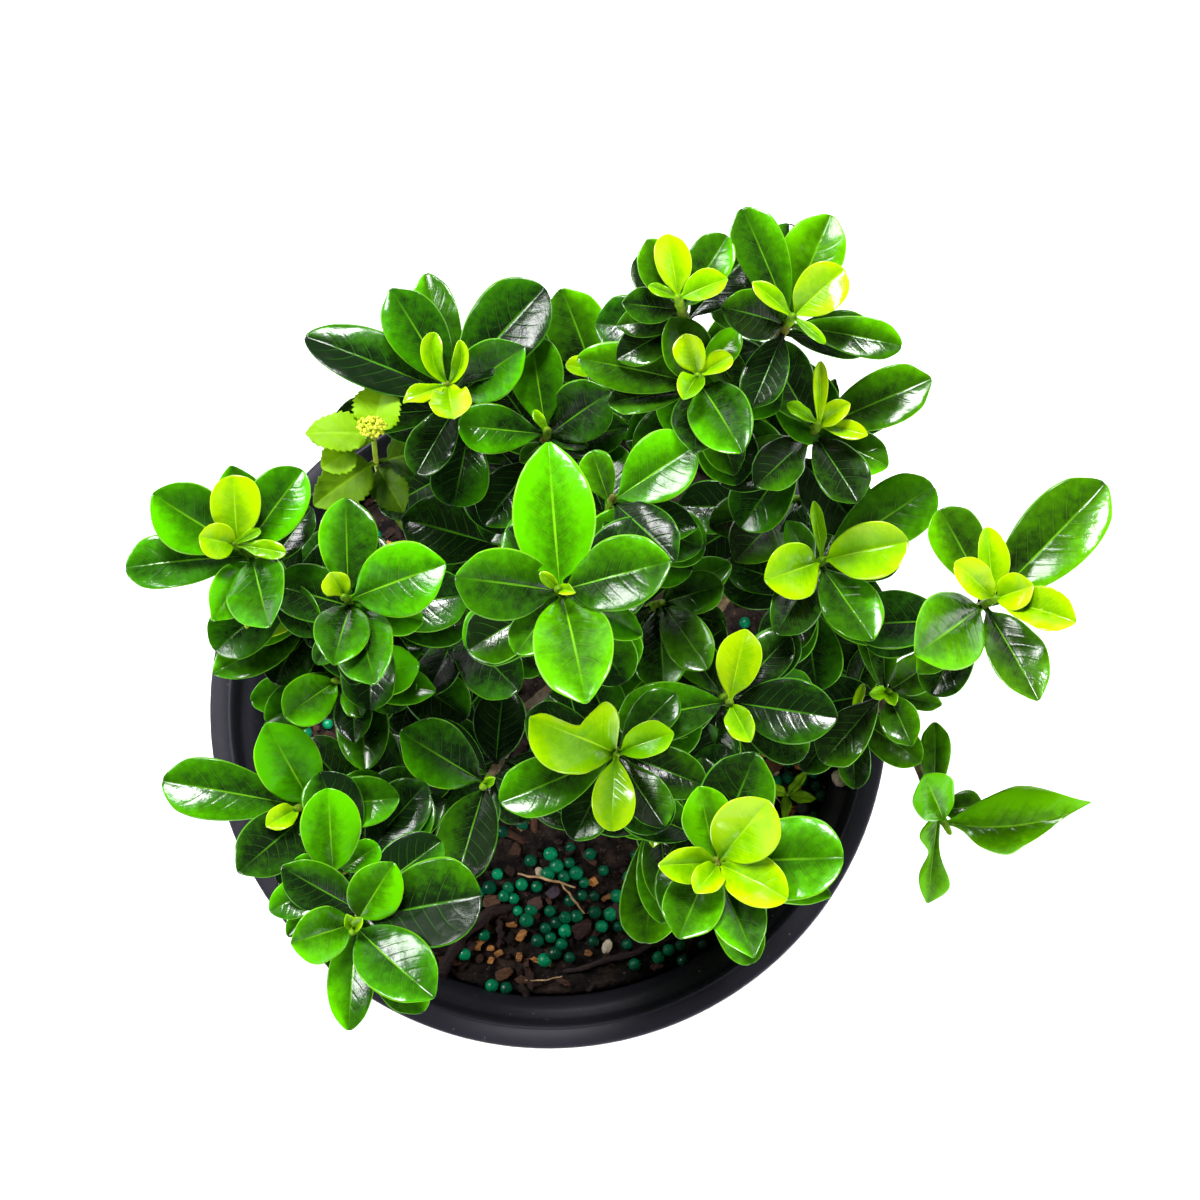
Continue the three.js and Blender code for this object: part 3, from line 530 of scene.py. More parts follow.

# %% [markdown]
# ## Potting mix and fertiliser
# The mix is crumbly composted bark. One closed body fills the pot, with a surface of rough crumbs; on it
# lie loose bark pieces, a few roots and straws, five pebbles, and about three hundred dark green balls of
# slow-release fertiliser. Those that show in the two gaps between the leaves stand by a table, one by one.
# Their places were read off the photograph by eye, and a small program that isn't part of this script
# turned many of them into millimetres. Others were moved or added.

# %% The body of the mix
SOIL_LEVEL, SOIL_WAVES = 160, 1.6  # mm above the ground, and how far the surface rises and falls
SOIL_CLEAR, SOIL_UP = 0.65, 0.3  # mm that stay free at the wall and above the pot's floor
SOIL_AROUND, SOIL_RINGS = 150, 58
EVEN_EDGE, UNEVEN = 0.5, 4  # mm from the wall: level up to the first, and fully uneven from the second


def soil_height(x, y):
    waves = np.sin(x * 0.09 + 1) + np.sin(y * 0.11 + 2) + np.sin((x - y) * 0.07)
    return SOIL_LEVEL + SOIL_WAVES * waves / 2


def crumbs(x, y):
    """Small lumps on the surface: a few sine waves whose directions don't repeat."""
    turns = [(0.9, 0.3), (-0.5, 1.1), (1.7, -1.2), (2.3, 1.9), (-2.9, 2.1)]
    return sum(np.sin(a * x + b * y + k) * 0.45 / (1 + 0.5 * k) for k, (a, b) in enumerate(turns))


def soil_reach(z):
    return wall_radius(z) - POT["wall"] - SOIL_CLEAR


MIX_REACH = soil_reach(SOIL_LEVEL)


def make_soil(finish):
    bottom = POT["floor"] + SOIL_UP
    rings = [(0.02, bottom)] + [(soil_reach(z), z) for z in (bottom, 60, 110, SOIL_LEVEL - 1.5)]
    rings += [(MIX_REACH * share, SOIL_LEVEL) for share in np.linspace(0.985, 0.0, SOIL_RINGS)]
    points, faces = turned([(0, bottom)] + rings + [(0, SOIL_LEVEL)], SOIL_AROUND)
    x, y, z = points.T
    inside = eased(MIX_REACH - np.hypot(x, y), EVEN_EDGE, UNEVEN)
    surface = SOIL_LEVEL + inside * (soil_height(x, y) - SOIL_LEVEL + crumbs(x, y))
    points[:, 2] = np.where(z > SOIL_LEVEL - 1, surface, z)
    draft = Draft()
    draft.add(points, faces)
    return draft.piece("potting_mix", [finish], "soil", ["soil"])


print("the mix reaches", round(float(MIX_REACH), 2), "mm from the middle")


# %% Finishes of what lies on it
def soil_finish():
    finish = Finish("bark_mix")
    coarse = finish.noise(160, detail=8, roughness=0.7)
    lumps = finish.cells(330)
    fine = finish.noise(900, detail=4)
    colour = finish.blend(coarse.between(0.4, 0.75), (0.004, 0.003, 0.003), (0.045, 0.028, 0.021))
    colour = finish.blend(fine.between(0.6, 0.74) * 0.5, colour, (0.15, 0.09, 0.055))
    height = coarse + lumps * 0.6 + fine * 0.3
    normal = finish.bump(height, 0.9, 0.0015)
    return finish.shaded(colour, coarse * 0.1 + 0.88, normal, Specular_IOR_Level=0.2)


def bark_piece_finish():
    """Reads how light, how orange and how grey each piece is from the shades given to its points."""
    finish = Finish("bark_piece")
    light, orange, grey = (finish.attribute(shade) for shade in SHADES)
    grain = finish.noise(300, detail=6, roughness=0.7, at=finish.stretched(1, 5, 1))
    colour = finish.blend(light + (grain - 0.5) * 0.9, (0.008, 0.004, 0.003), (0.1, 0.045, 0.028))
    colour = finish.blend(orange * grain.between(0.3, 0.55), colour, (0.5, 0.21, 0.055))
    colour = finish.blend(grey, colour, (0.06, 0.045, 0.065))
    normal = finish.bump(grain, 0.7, 0.0008)
    return finish.shaded(colour, grain * 0.25 + 0.65, normal, Specular_IOR_Level=0.3)


def granule_finish():
    """Satin coats from emerald to nearly black green, one tone for each ball."""
    finish = Finish("green_granule")
    tone = finish.attribute("fresh")
    speck = finish.noise(1500, detail=3)
    cloud = finish.noise(500, detail=2)
    colour = finish.blend(tone, (0.0, 0.018, 0.01), (0.0, 0.25, 0.1))
    # Darker blotches and specks, scattered at random over the coat.
    darker_blotches = speck.between(0.62, 0.8) * 0.5 + cloud.between(0.55, 0.7) * 0.3
    colour = finish.blend(darker_blotches, colour, (0.002, 0.03, 0.018))
    normal = finish.bump(speck + cloud, 0.35, 0.0003)
    return finish.shaded(colour, speck * 0.3 + 0.14, normal, Specular_IOR_Level=0.4)


def stone_finish(name, dark, light):
    finish = Finish(name)
    mottle = finish.noise(260, detail=6, roughness=0.65)
    colour = finish.blend(mottle.between(0.35, 0.7), dark, light)
    return finish.shaded(colour, mottle * 0.2 + 0.5, finish.bump(mottle, 0.5, 0.0005))


# %% Lumps, balls and sticks
def ball(around, up):
    """A unit sphere from rings, as points and faces."""
    heights = np.cos(np.linspace(0, np.pi, up + 1))[::-1]
    return turned([(math.sqrt(max(0.0, 1 - h * h)), h) for h in heights], around)


BALL, ROUGH_BALL = ball(12, 8), ball(9, 6)


def turn_matrix(about_x, about_y, about_z):
    upper = Matrix.Rotation(about_z, 3, "Z") @ Matrix.Rotation(about_y, 3, "Y")
    return np.array(upper @ Matrix.Rotation(about_x, 3, "X"))


def lump(draft, centre, size, seed, rough, slot=0, turned_by=None, block=1.0, **shades):
    """A ball pressed to three half sizes and knocked about by `rough`; a `block` below 1 squares it."""
    points, faces = ROUGH_BALL
    points = np.sign(points) * np.abs(points) ** block
    knocks = np.array([1 + rough * (2 * draw(seed + 0.37 * k) - 1) for k in range(len(points))])
    spin = 6.28 * draw(seed + 0.3) if turned_by is None else math.radians(turned_by)
    turn = turn_matrix(0.5 * draw(seed + 0.1) - 0.25, 0.5 * draw(seed + 0.2) - 0.25, spin)
    draft.add((points * knocks[:, None] * size) @ turn.T + centre, faces, slot, **shades)


TRIES = 40  # draws for each place that is asked for


def seeded_places(count, apart, seed, taken):
    """Places on the mix, each at least `apart` from the others and from those already taken."""
    places = []
    for k in range(count * TRIES):
        if len(places) == count:
            break
        radius, angle = MIX_REACH * math.sqrt(draw(seed + k)), 2 * math.pi * draw(seed + k + 0.5)
        x, y = radius * math.cos(angle), radius * math.sin(angle)
        if math.hypot(x, y) > MIX_REACH - apart / 2:
            continue
        if any(math.hypot(a - x, b - y) < apart for a, b in taken):
            continue
        places.append((x, y))
        taken.append((x, y))
    return places


print("faces of a ball:", len(BALL[1]), "and of a lump:", len(ROUGH_BALL[1]))


# %% What lies on the mix
WINDOWS = [((3, -66), 30), ((76, -17), 15)]  # where the leaves leave the mix in view: centre and radius
BALLS = [
    (1.9, -47.7), (5.8, -46.7), (7.8, -49.7), (4.2, -50.8), (10.2, -52.6), (-0.8, -50), (-18.4, -54.1),
    (-12.6, -54.1), (-8.6, -53.1), (-4.1, -53.8), (-11.1, -57.4), (-14, -56.6), (5.9, -58), (9.6, -56.4),
    (13.2, -56.6), (-9.7, -61.1), (-5.7, -60.7), (-0.1, -61.1), (4.6, -63), (8, -62.7), (13.4, -61.4),
    (-7.1, -63.8), (1.9, -64.6), (-1.4, -66.2), (15.5, -65.7), (20.7, -65.8), (0.2, -69), (4.6, -67),
    (-3.8, -70), (3.4, -71), (13, -70.2), (23.1, -71.1), (-1.7, -75.8), (1.4, -73.7), (5.9, -75),
    (39.3, -71.4), (35.7, -72.7), (32.7, -75), (25.4, -77), (-17.6, -83.5), (-13.3, -84.2), (-20, -68.4),
    (-21.3, -59.2), (-21.8, -55.6), (18.1, -62), (20.1, -56.6), (72.2, -16), (79.8, -19.3), (72, -20.9),
    (68.7, -22.1), (76, -21.7), (80.4, -23.5), (83.2, -16.6), (82.6, -12.6), (82, -26.5), (79.5, -32.8),
    (-26, -74), (28, -62), (33, -66), (44, -66), (16, -49), (-16, -50), (-24, -50), (-20, -64), (0, -44),
    (6, -42), (12, -44), (-6, -46), (24, -51), (28, -56), (-28, -58), (40, -76), (46, -71), (-27, -66),
    (36, -60),
]
CHIPS = [  # place, half sizes, direction, then how light, how orange and how grey
    ((-4.4, -58.9), (2.1, 1.8, 0.9), 20, 0.9, 0.0, 0.25),
    ((0.9, -55.6), (2.0, 1.6, 1.2), 50, 0.6, 0.0, 0.9),
    ((9.5, -66.5), (3.1, 2.2, 1.2), 30, 0.35, 0.0, 0.1),
    ((-17.7, -57.9), (2.6, 1.8, 1.0), 10, 0.55, 0.1, 0.1),
    ((-8.7, -68.4), (1.9, 1.1, 0.9), 60, 0.9, 0.9, 0.0),
    ((-18, -72.4), (1.0, 0.9, 0.8), 0, 0.9, 1.0, 0.0),
    ((-15.6, -73.7), (1.3, 0.9, 0.7), 20, 0.8, 0.7, 0.0),
    ((-9.4, -74.7), (1.3, 1.0, 0.7), 80, 0.9, 0.6, 0.0),
    ((-11.6, -65.2), (1.6, 0.8, 0.6), 0, 0.9, 0.8, 0.0),
    ((17.3, -56.9), (2.0, 0.8, 0.6), 25, 0.9, 0.7, 0.0),
    ((11.5, -73.6), (1.0, 0.9, 0.7), 0, 0.9, 0.5, 0.0),
    ((68, -16.8), (2.6, 2.2, 0.8), 30, 0.8, 0.1, 0.0),
    ((75, -17.6), (1.3, 0.9, 0.7), 0, 1.0, 0.8, 0.0),
    ((64.7, -13.5), (1.8, 0.8, 0.7), 60, 0.9, 0.8, 0.0),
    ((73.1, -31.3), (2.0, 0.9, 0.7), 70, 0.8, 0.9, 0.0),
    ((-14, -80), (2.8, 1.6, 0.8), 15, 0.5, 0.1, 0.0),
    ((20, -61), (2.4, 1.6, 0.9), 80, 0.4, 0.0, 0.3),
    ((-24, -71), (3.2, 1.5, 0.8), 60, 0.3, 0.0, 0.2),
]
# Place, half sizes and which of the two stones.
PEBBLES = [((17.1, -71.7), (2.5, 1.6, 1.5), 0), ((-3.4, -49.3), (1.6, 1.3, 1.1), 0),
           ((68.5, -19.6), (1.3, 1.0, 0.8), 0), ((76.3, -30.1), (2.3, 2.0, 1.6), 1)]
LEDGE_PEBBLE = ((86.4, -21.4, 172.6), (2.9, 2.3, 1.9))  # against the wall, on the ledge inside the pot
# Points along each, the last number of a point being its height above the mix, and then the radius.
STRAWS = [([(2.9, -52.3, 3.4), (6.6, -57, 4.0), (10.2, -61.8, 2.2)], 0.36),
          ([(-9.8, -50, 2.2), (-1, -51.5, 3.6), (7.5, -53.9, 2.8)], 0.45),
          ([(-7.7, -81.9, 1.0), (-2, -81.8, 1.6), (3.6, -80.6, 0.9)], 0.25),
          ([(60, -20, 1.2), (66, -24, 1.8), (70, -29, 1.0)], 0.3)]
ROOTS = [
    ([(-34, -84, -1), (-32.2, -78.9, 1.5), (-24.3, -65.8, 2.6), (-14.4, -60.5, 1.0), (-10, -58, -2)], 2.1),
    ([(4, -79.5, -0.5), (6.2, -78.9, 1.0), (18.1, -75.6, 1.8), (31.4, -71.4, 1.2), (38, -68, -0.5)], 1.0),
    ([(-15.9, -62.2, 0.4), (-15.2, -66, 1.8), (-14.3, -70.7, 0.8)], 1.0),
    ([(-3.7, -60.2, 1.0), (-4.4, -66.8, 0.8)], 0.5),
]
STANDING = [(15, 18), (-45, 55), (70, -26)]  # trunk, weed and seedling
print("balls that show:", len(BALLS), "chips:", len(CHIPS), "pebbles:", len(PEBBLES) + 1)

# %% Strewing it
STICK_STEPS, STICK_SIDES = 24, 7
HIDDEN_BALLS, BALLS_APART, BALLS_SEED = 250, 5.0, 700
LEAST_BALL, MORE_BALL = 1.6, 0.65  # mm of radius, and how much more the largest has
BARK_BITS, BITS_APART, BITS_SEED = 680, 2.3, 300
BIT_ROUGH, CHIP_ROUGH, PEBBLE_ROUGH = 0.4, 0.3, 0.06
BARK_BLOCK = 0.6  # bark breaks into blocks
MOST_BROWN = 0.93  # of the strewn bark; the others are fresh and orange


def stick(draft, points, radius, slot=0, **shades):
    """A thin straw or root that lies on the mix; each point gives its height above it."""
    raised = [(x, y, soil_height(x, y) + up) for x, y, up in points]
    steps = range(STICK_STEPS + 1)
    wander = np.array([[math.sin(0.9 * k), math.cos(0.7 * k), 0.5 * math.sin(0.5 * k)] for k in steps])
    path = through(raised).spaced(STICK_STEPS) + 0.35 * radius * wander
    middle = [abs(2 * k / STICK_STEPS - 1) ** 2 for k in steps]  # 0 half-way along, 1 at the ends
    taper = [radius * (1 - 0.45 * middle[k] + 0.1 * math.sin(1.7 * k)) for k in steps]
    draft.add(*swept(path, taper, STICK_SIDES), slot, **shades)


def scatter_granules(taken):
    draft = Draft()
    points, faces = BALL
    seeded = seeded_places(HIDDEN_BALLS, BALLS_APART, BALLS_SEED, taken + BALLS)
    hidden = [p for p in seeded if all(math.dist(p, centre) > reach for centre, reach in WINDOWS)]
    for k, (x, y) in enumerate(BALLS + hidden):
        radius = LEAST_BALL + MORE_BALL * draw(k + 0.7)
        squash = np.array([1, 1, 0.9 + 0.1 * draw(k + 0.2)]) * radius
        centre = (x, y, soil_height(x, y) + radius * (0.35 + 0.6 * draw(k + 0.4)))
        draft.add(points * squash + centre, faces, fresh=0.1 + 0.9 * draw(k + 0.9) ** 1.3)
    return draft.piece("fertiliser_granules", [granule_finish()], "soil", ["soil"])


def scatter_bark(taken):
    draft = Draft()
    for k, (x, y) in enumerate(seeded_places(BARK_BITS, BITS_APART, BITS_SEED, list(taken))):
        size = np.array([0.8 + 2.8 * draw(k) ** 2.5, 0.6 + 1.1 * draw(k + 0.5), 0.4 + 0.6 * draw(k + 0.9)])
        place = (x, y, soil_height(x, y) + 0.4 + 0.5 * draw(k + 0.8))
        orange = float(draw(k + 0.55) > MOST_BROWN)
        shades = {"fresh": 0.7 * draw(k + 0.15) ** 2, "lime": orange}
        lump(draft, place, size, k + 50, BIT_ROUGH, block=BARK_BLOCK, **shades)
    for k, ((x, y), size, turn, light, orange, grey) in enumerate(CHIPS):
        place = (x, y, soil_height(x, y) + size[2] + 0.3)
        shades = {"fresh": light, "lime": orange, "under": grey}
        lump(draft, place, np.array(size), 900 + k, CHIP_ROUGH, turned_by=turn, block=BARK_BLOCK, **shades)
    for points, radius in ROOTS:
        stick(draft, points, radius, fresh=0.1, under=0.1)
    return draft.piece("bark_pieces", [bark_piece_finish()], "soil", ["soil"], smooth=False)


def lay_pebbles_and_straws():
    finishes = [stone_finish("cream_pebble", (0.36, 0.27, 0.17), (0.8, 0.7, 0.55)),
                stone_finish("grey_pebble", (0.03, 0.035, 0.04), (0.1, 0.11, 0.12)),
                stone_finish("straw", (0.25, 0.14, 0.06), (0.62, 0.42, 0.22))]
    draft = Draft()
    for (x, y), size, slot in PEBBLES:
        place = (x, y, soil_height(x, y) + size[2] * 0.8)
        lump(draft, place, np.array(size), 40 + x, PEBBLE_ROUGH, slot)
    lump(draft, LEDGE_PEBBLE[0], np.array(LEDGE_PEBBLE[1]), 40, PEBBLE_ROUGH)
    for points, radius in STRAWS:
        stick(draft, points, radius, 2)
    return draft.piece("pebbles_and_straws", finishes, "soil", ["soil"])


taken = STANDING + [place for place, *_ in PEBBLES + CHIPS]
soil = make_soil(soil_finish())
bark_pieces = scatter_bark(taken)
granules = scatter_granules(taken)
pebbles = lay_pebbles_and_straws()
on_mix = {made.name: len(made.data.polygons) for made in (soil, bark_pieces, granules, pebbles)}
print("faces:", on_mix)

# %% [markdown]
# ## Wood
# The trunk and the limbs are old enough for bark: brown-grey, ridged along their length, and scarred in
# rings where leaves once were. Each tube follows the same curve as in the solids, so the shoots stand
# exactly on them.

# %% Limbs and trunk, as in the solids
TRUNK = {"foot": (15, 18, 136), "top": (17, 19, 179), "radius": 5.5, "taper": 0.8}
LIMB_TAPER = 0.75
LIMBS = {
    "west": (2.6, [(17, 19, 172), (-4, 18, 188), (-28, 16, 212), (-48, 14, 238)]),
    "southwest": (2.5, [(16, 17, 172), (-4, 0, 188), (-26, -20, 206), (-44, -38, 230)]),
    "south": (2.5, [(18, 16, 172), (22, 0, 190), (30, -16, 214), (34, -26, 240)]),
    "east": (3.7, [(17, 19, 174), (42, 16, 184), (66, 13, 191), (88, 7, 197), (100, -4, 206)]),
    "north": (2.7, [(40, 17, 182), (52, 34, 192), (55, 52, 208), (54, 70, 244), (53, 82, 276)]),
    "northwest": (2.4, [(17, 21, 174), (6, 38, 194), (-4, 54, 222), (-10, 62, 245)]),
    "centre": (2.6, [(17, 20, 176), (14, 24, 205), (12, 24, 245), (10, 22, 290)]),
}
WOODY_RADIUS, LEAFY_RADIUS, YOUNG_RADIUS = 1.5, 1.25, 0.95
BARK_SIDES, BARK_STEP, LEAST_STEPS = 16, 0.9, 8  # the step is in millimetres
TRUNK_RIDGES, LIMB_RIDGES, SHOOT_RIDGES = 0.28, 0.13, 0.07  # how deep the bark is, in millimetres
SCARS_APART = 9  # rings of the tube from one leaf scar to the next
limb_curves = {name: through(points) for name, (_, points) in LIMBS.items()}


def bark_relief(count, depth, seed):
    """Ridges along a tube, with a scar ring now and then, as an addition to each point's radius."""
    along = np.arange(count)[:, None]
    around = np.arange(BARK_SIDES)[None, :] * 2 * np.pi / BARK_SIDES
    ridges = 0.6 * np.sin(3 * around + 0.17 * along + seed)
    finer = 0.5 * np.sin(5 * around - 0.31 * along + 2 * seed)
    rough = [[draw(seed + 0.13 * i + 7.7 * j) - 0.5 for j in range(BARK_SIDES)] for i in range(count)]
    scars = 1.3 * np.exp(-(((along % SCARS_APART) - SCARS_APART // 2) ** 2) / 0.8)
    return depth * (ridges + finer + 0.9 * np.array(rough) + scars)


def bark_tube(draft, curve, radius, taper, depth, seed, end=None):
    end = curve.length if end is None else end
    steps = max(LEAST_STEPS, int(end / BARK_STEP))
    radii = np.linspace(radius, radius * taper, steps + 1)
    relief = bark_relief(steps + 1, depth, seed)
    draft.add(*swept(curve.spaced(steps, end=end), radii, BARK_SIDES, relief))


def bark_finish():
    finish = Finish("bark")
    grain = finish.noise(520, detail=8, roughness=0.7, at=finish.stretched(1, 1, 0.4))
    patch = finish.noise(70, detail=3)
    colour = finish.blend(grain.between(0.35, 0.65), (0.05, 0.028, 0.015), (0.21, 0.135, 0.075))
    colour = finish.blend(patch.between(0.5, 0.68) * 0.6, colour, (0.2, 0.18, 0.13))
    colour = finish.blend(patch.between(0.52, 0.4) * 0.35, colour, (0.06, 0.075, 0.02))
    return finish.shaded(colour, grain * 0.3 + 0.6, finish.bump(grain, 0.8, 0.0007))


print("limbs:", {name: round(float(curve.length)) for name, curve in limb_curves.items()})

# %% [markdown]
# ## One leaf
# A gardenia leaf is a short-stalked oval, widest past its middle, arched along its midrib and folded a
# little along it. Its side veins run forward in arcs and sink into the upper face, which bulges between
# them; the margin is thin, slightly wavy and often turned. The blade below starts from exactly the arch,
# fold and roll that the solid leaf has. Each of its rows is a ring: over the top from left to right, and
# back underneath, so the leaf is closed and thin at its edge.

# %% The blade
COLUMNS = np.array([1, 0.93, 0.8, 0.62, 0.42, 0.22, 0.08, 0, -0.08, -0.22, -0.42, -0.62, -0.8, -0.93, -1])
RING = np.concatenate([COLUMNS, COLUMNS[1:-1][::-1]])
ON_TOP = np.arange(len(RING)) < len(COLUMNS)
ON_RIM = np.abs(RING) == 1
VEIN_PAIRS = 9
VEIN_SWEEP, VEIN_ARC = 0.17, 0.08  # how far towards the tip a side vein runs on its way to the margin
HALF_THICKNESS = 0.3  # mm, as in the solids
STALK_SHARE, QUILT = 0.07, 0.012  # of the leaf's length, and mm that the face bulges between its veins
UNTWISTED = 0.35  # the share of its length at which a twisted leaf has its own roll
SHORT_OF_TIP = 0.997  # the last ring stops here, so that the point stays rounded
MARGIN_STEPS = 90
UP = np.array([0, 0, 1.0])


def character(number, youth=False):
    """The share of variety that a leaf has in the solids, from its number."""
    fold = 12 + 14 * draw(number + 0.3) + (6 if youth else 0)
    return {"arch": 24 + 22 * (draw(number) - 0.5), "fold": fold, "roll": 26 * (draw(number + 0.6) - 0.5)}


def variety(number, youth):
    """What only the dressed leaf has: outline, curl, wave and twist, and a painted shade on one half of the
    blade.
    """
    some = [draw(number * 1.7 + 0.11 * k) for k in range(8)]
    curl = 0.06 + 0.14 * some[2] if youth else -0.16 + 0.22 * some[2]
    # painted_half_shade is painted shade: it makes one half of the blade darker than the other.
    return {"base": 0.72 + 0.26 * some[0], "tip": 0.42 + 0.29 * some[1], "curl": curl,
            "wave": 0.15 + 0.45 * some[3], "waves": 1.2 + 1.3 * some[4], "twist": 16 * (some[5] - 0.5),
            "sweep": 0.07 * (some[6] - 0.5), "point": 0.04 + 0.32 * some[7] ** 1.5,
            "pucker": 0.05 + 0.09 * some[3], "painted_half_shade": 0.4 * (some[0] - 0.5)}


def level_axes(azimuth):
    """The way that a direction in degrees points, and the way to its left."""
    turn = math.radians(azimuth)
    return np.array([math.cos(turn), math.sin(turn), 0]), np.array([-math.sin(turn), math.cos(turn), 0])


def midrib(leaf, s, twist=0.0):
    """The arched midrib at shares of its length, the way to its left and the way off its face."""
    start = math.radians(leaf["lift"] + leaf["arch"] / 2)
    arch = math.radians(leaf["arch"])
    slope = start - arch * s
    run = leaf["length"] * (math.sin(start) - np.sin(slope)) / arch
    rise = leaf["length"] * (np.cos(slope) - math.cos(start)) / arch
    forward, level = level_axes(leaf["azimuth"])
    upright = -np.sin(slope)[..., None] * forward + np.cos(slope)[..., None] * UP
    roll = np.radians(leaf["roll"] + twist * (s - UNTWISTED))[..., None]
    side = level * np.cos(roll) + upright * np.sin(roll)
    normal = upright * np.cos(roll) - level * np.sin(roll)
    return run[..., None] * forward + rise[..., None] * UP, side, normal


# %% Its outline
def outline(s, leaf):
    """Half width along the leaf: a stalk, an oval that is widest past its middle, and a short point."""
    stalk = leaf.get("stalk", STALK_SHARE)
    u = np.clip((s - stalk) / (1 - stalk), 0, 1)
    base, tip = leaf["base"], leaf["tip"]
    widest = base / (base + tip)
    oval = (u / widest) ** base * ((1 - u) / (1 - widest)) ** tip * (1 - leaf["point"] * eased(u, 0.84, 1))
    least = 0.5 + 0.012 * leaf["length"] - 0.4 * eased(s, 0.1, 0.5)
    return np.sqrt((leaf["width"] / 2 * oval) ** 2 + least**2)


def margin_line(s, points):
    """Half widths from a smooth line through (share of the length, millimetres) points."""
    line = np.array([through(points).point(k) for k in np.linspace(0, 1, MARGIN_STEPS)])
    return np.interp(s, line[:, 0], line[:, 1])


def half_widths(leaf, s, t):
    half = outline(s, leaf) * np.ones_like(t)
    if "margins" in leaf:
        left, right = (margin_line(s, points) for points in leaf["margins"])
        half = np.where(t > 0, left, right)
    if "teeth" in leaf:
        count, depth = leaf["teeth"]
        half = half * (1 - depth * ((s * count + 0.5 * (t > 0)) % 1) * eased(s, 0.12, 0.25))
    return half


# %% Its relief
def reliefs(leaf, s, t, half):
    """All that lifts a point off the folded blade, in millimetres: its bulges, curls and thickness."""
    body = np.sin(np.pi * np.clip(s, 0, 1)) ** 0.5  # none at the two ends
    phase = VEIN_PAIRS * (s - VEIN_SWEEP * np.abs(t) - VEIN_ARC * t**2)
    between_veins = np.abs(np.sin(np.pi * phase)) - 0.5
    quilt = leaf.get("quilt", QUILT) * body * (1 - t**4) * np.abs(t) ** 0.4 * between_veins
    lengthwise = np.sin(0.75 * s * leaf["length"] + 2.1 * t + 9 * leaf["pucker"])
    ripple = lengthwise * np.sin(0.8 * t * half + 50 * leaf["pucker"])
    pucker = leaf["pucker"] * body * ripple
    swing = np.sin(2 * np.pi * leaf["waves"] * s + 1.9 * np.sign(t) + leaf["roll"])
    wave = leaf["wave"] * body * np.abs(t) ** 3 * swing
    curl = leaf["curl"] * half * np.abs(t) ** 2.6 * body
    cup = leaf.get("cup", 0) * leaf["length"] * s**2
    rib = np.exp(-((t * half / 0.55) ** 2)) * (1 - 0.6 * s)
    by_stalk = 1 + 0.7 * np.exp(-((s / 0.08) ** 2))
    thick = HALF_THICKNESS * by_stalk * np.sqrt(np.clip(1 - t**4, 0, 1)) * (1 - 0.5 * eased(s, 0.8, 1))
    face = np.where(ON_TOP & ~ON_RIM, thick - 0.22 * rib, -thick - 0.3 * rib) * np.where(ON_RIM, 0, 1)
    return quilt, pucker, wave, curl, cup, face


def bowed(points, root, forward, level, length, bow):
    """The leaf bent sideways along its length, by `bow` degrees in all."""
    bend_radius = length / math.radians(bow)
    off = points - root
    along, across = off @ forward, off @ level
    angle, reach = along / bend_radius, bend_radius - across
    x, y = reach * np.sin(angle), bend_radius - reach * np.cos(angle)
    return root + x[..., None] * forward + y[..., None] * level + off[..., 2:] * UP


# %% Its points
FINE_ROWS = 70  # for a leaf with teeth or drawn margins
ROWS = ((24, 34), (12, 24), (0, 14))  # for a leaf longer than so many millimetres, so many rows


def blade_points(leaf, rows):
    """Rings of points along a leaf, with its place across and along at each."""
    k = np.linspace(0, 1, rows)
    s = (0.55 * k + 0.45 * (0.5 - 0.5 * np.cos(np.pi * k)))[:, None] * SHORT_OF_TIP
    t = RING[None, :]
    root = np.array(leaf["root"])
    forward, level = level_axes(leaf["azimuth"])
    spine, side, normal = midrib(leaf, s, leaf["twist"])
    spine = spine + (leaf["sweep"] * leaf["length"] * s**2)[..., None] * level
    half = half_widths(leaf, s, t)
    fold = np.radians(leaf["fold"] * (1.15 - 0.3 * s))
    above = sum(reliefs(leaf, s, t, half), np.abs(t) * half * np.sin(fold))
    points = root + spine + (t * half * np.cos(fold))[..., None] * side + above[..., None] * normal
    if "bow" in leaf:
        points = bowed(points, root, forward, level, leaf["length"], leaf["bow"])
    return points, np.broadcast_to(0.5 + 0.5 * t, half.shape), np.broadcast_to(s, half.shape)


def add_leaf(draft, leaf):
    rows = next(count for longer_than, count in ROWS if leaf["length"] > longer_than)
    if "teeth" in leaf or "margins" in leaf:
        rows = FINE_ROWS
    points, across, along = blade_points(leaf, rows)
    under = np.broadcast_to(np.where(ON_TOP, 0.0, 1.0), (rows, len(RING))).ravel()
    uv = np.stack([across.ravel(), along.ravel()], 1)
    # Painted shade: one half of the blade is painted darker than the other, as where the fold shades it, and
    # the blade is painted darker towards its stalk and lighter towards its tip.
    fresh = leaf["fresh"] + leaf["painted_half_shade"] * np.tanh(3 * (2 * across - 1)) + 0.12 * (along - 0.5)
    shades = {"fresh": fresh.ravel(), "lime": leaf["lime"], "under": under}
    draft.add(points, tube_faces(rows, len(RING)), uv=uv, **shades)


print("points in a ring of a leaf:", len(RING))

# %% [markdown]
# ## What a leaf looks like
# The upper face is deep green and waxy: it mirrors the window in hard white patches. New leaves are light
# green, the newest lime to yellow. The midrib and the side veins are paler, the margin is a thin bright
# line, and the underside is dull and greyish. The bright margin is partly the leaf's own paler edge and
# partly painted light shining through the thin edge. The blade is also painted lighter towards its margin
# and tip and darker along the midrib and in the furrows by the side veins: painted light and painted shade.
# The net reads where it is on the blade from the leaf's own map, so every leaf carries its own veins.

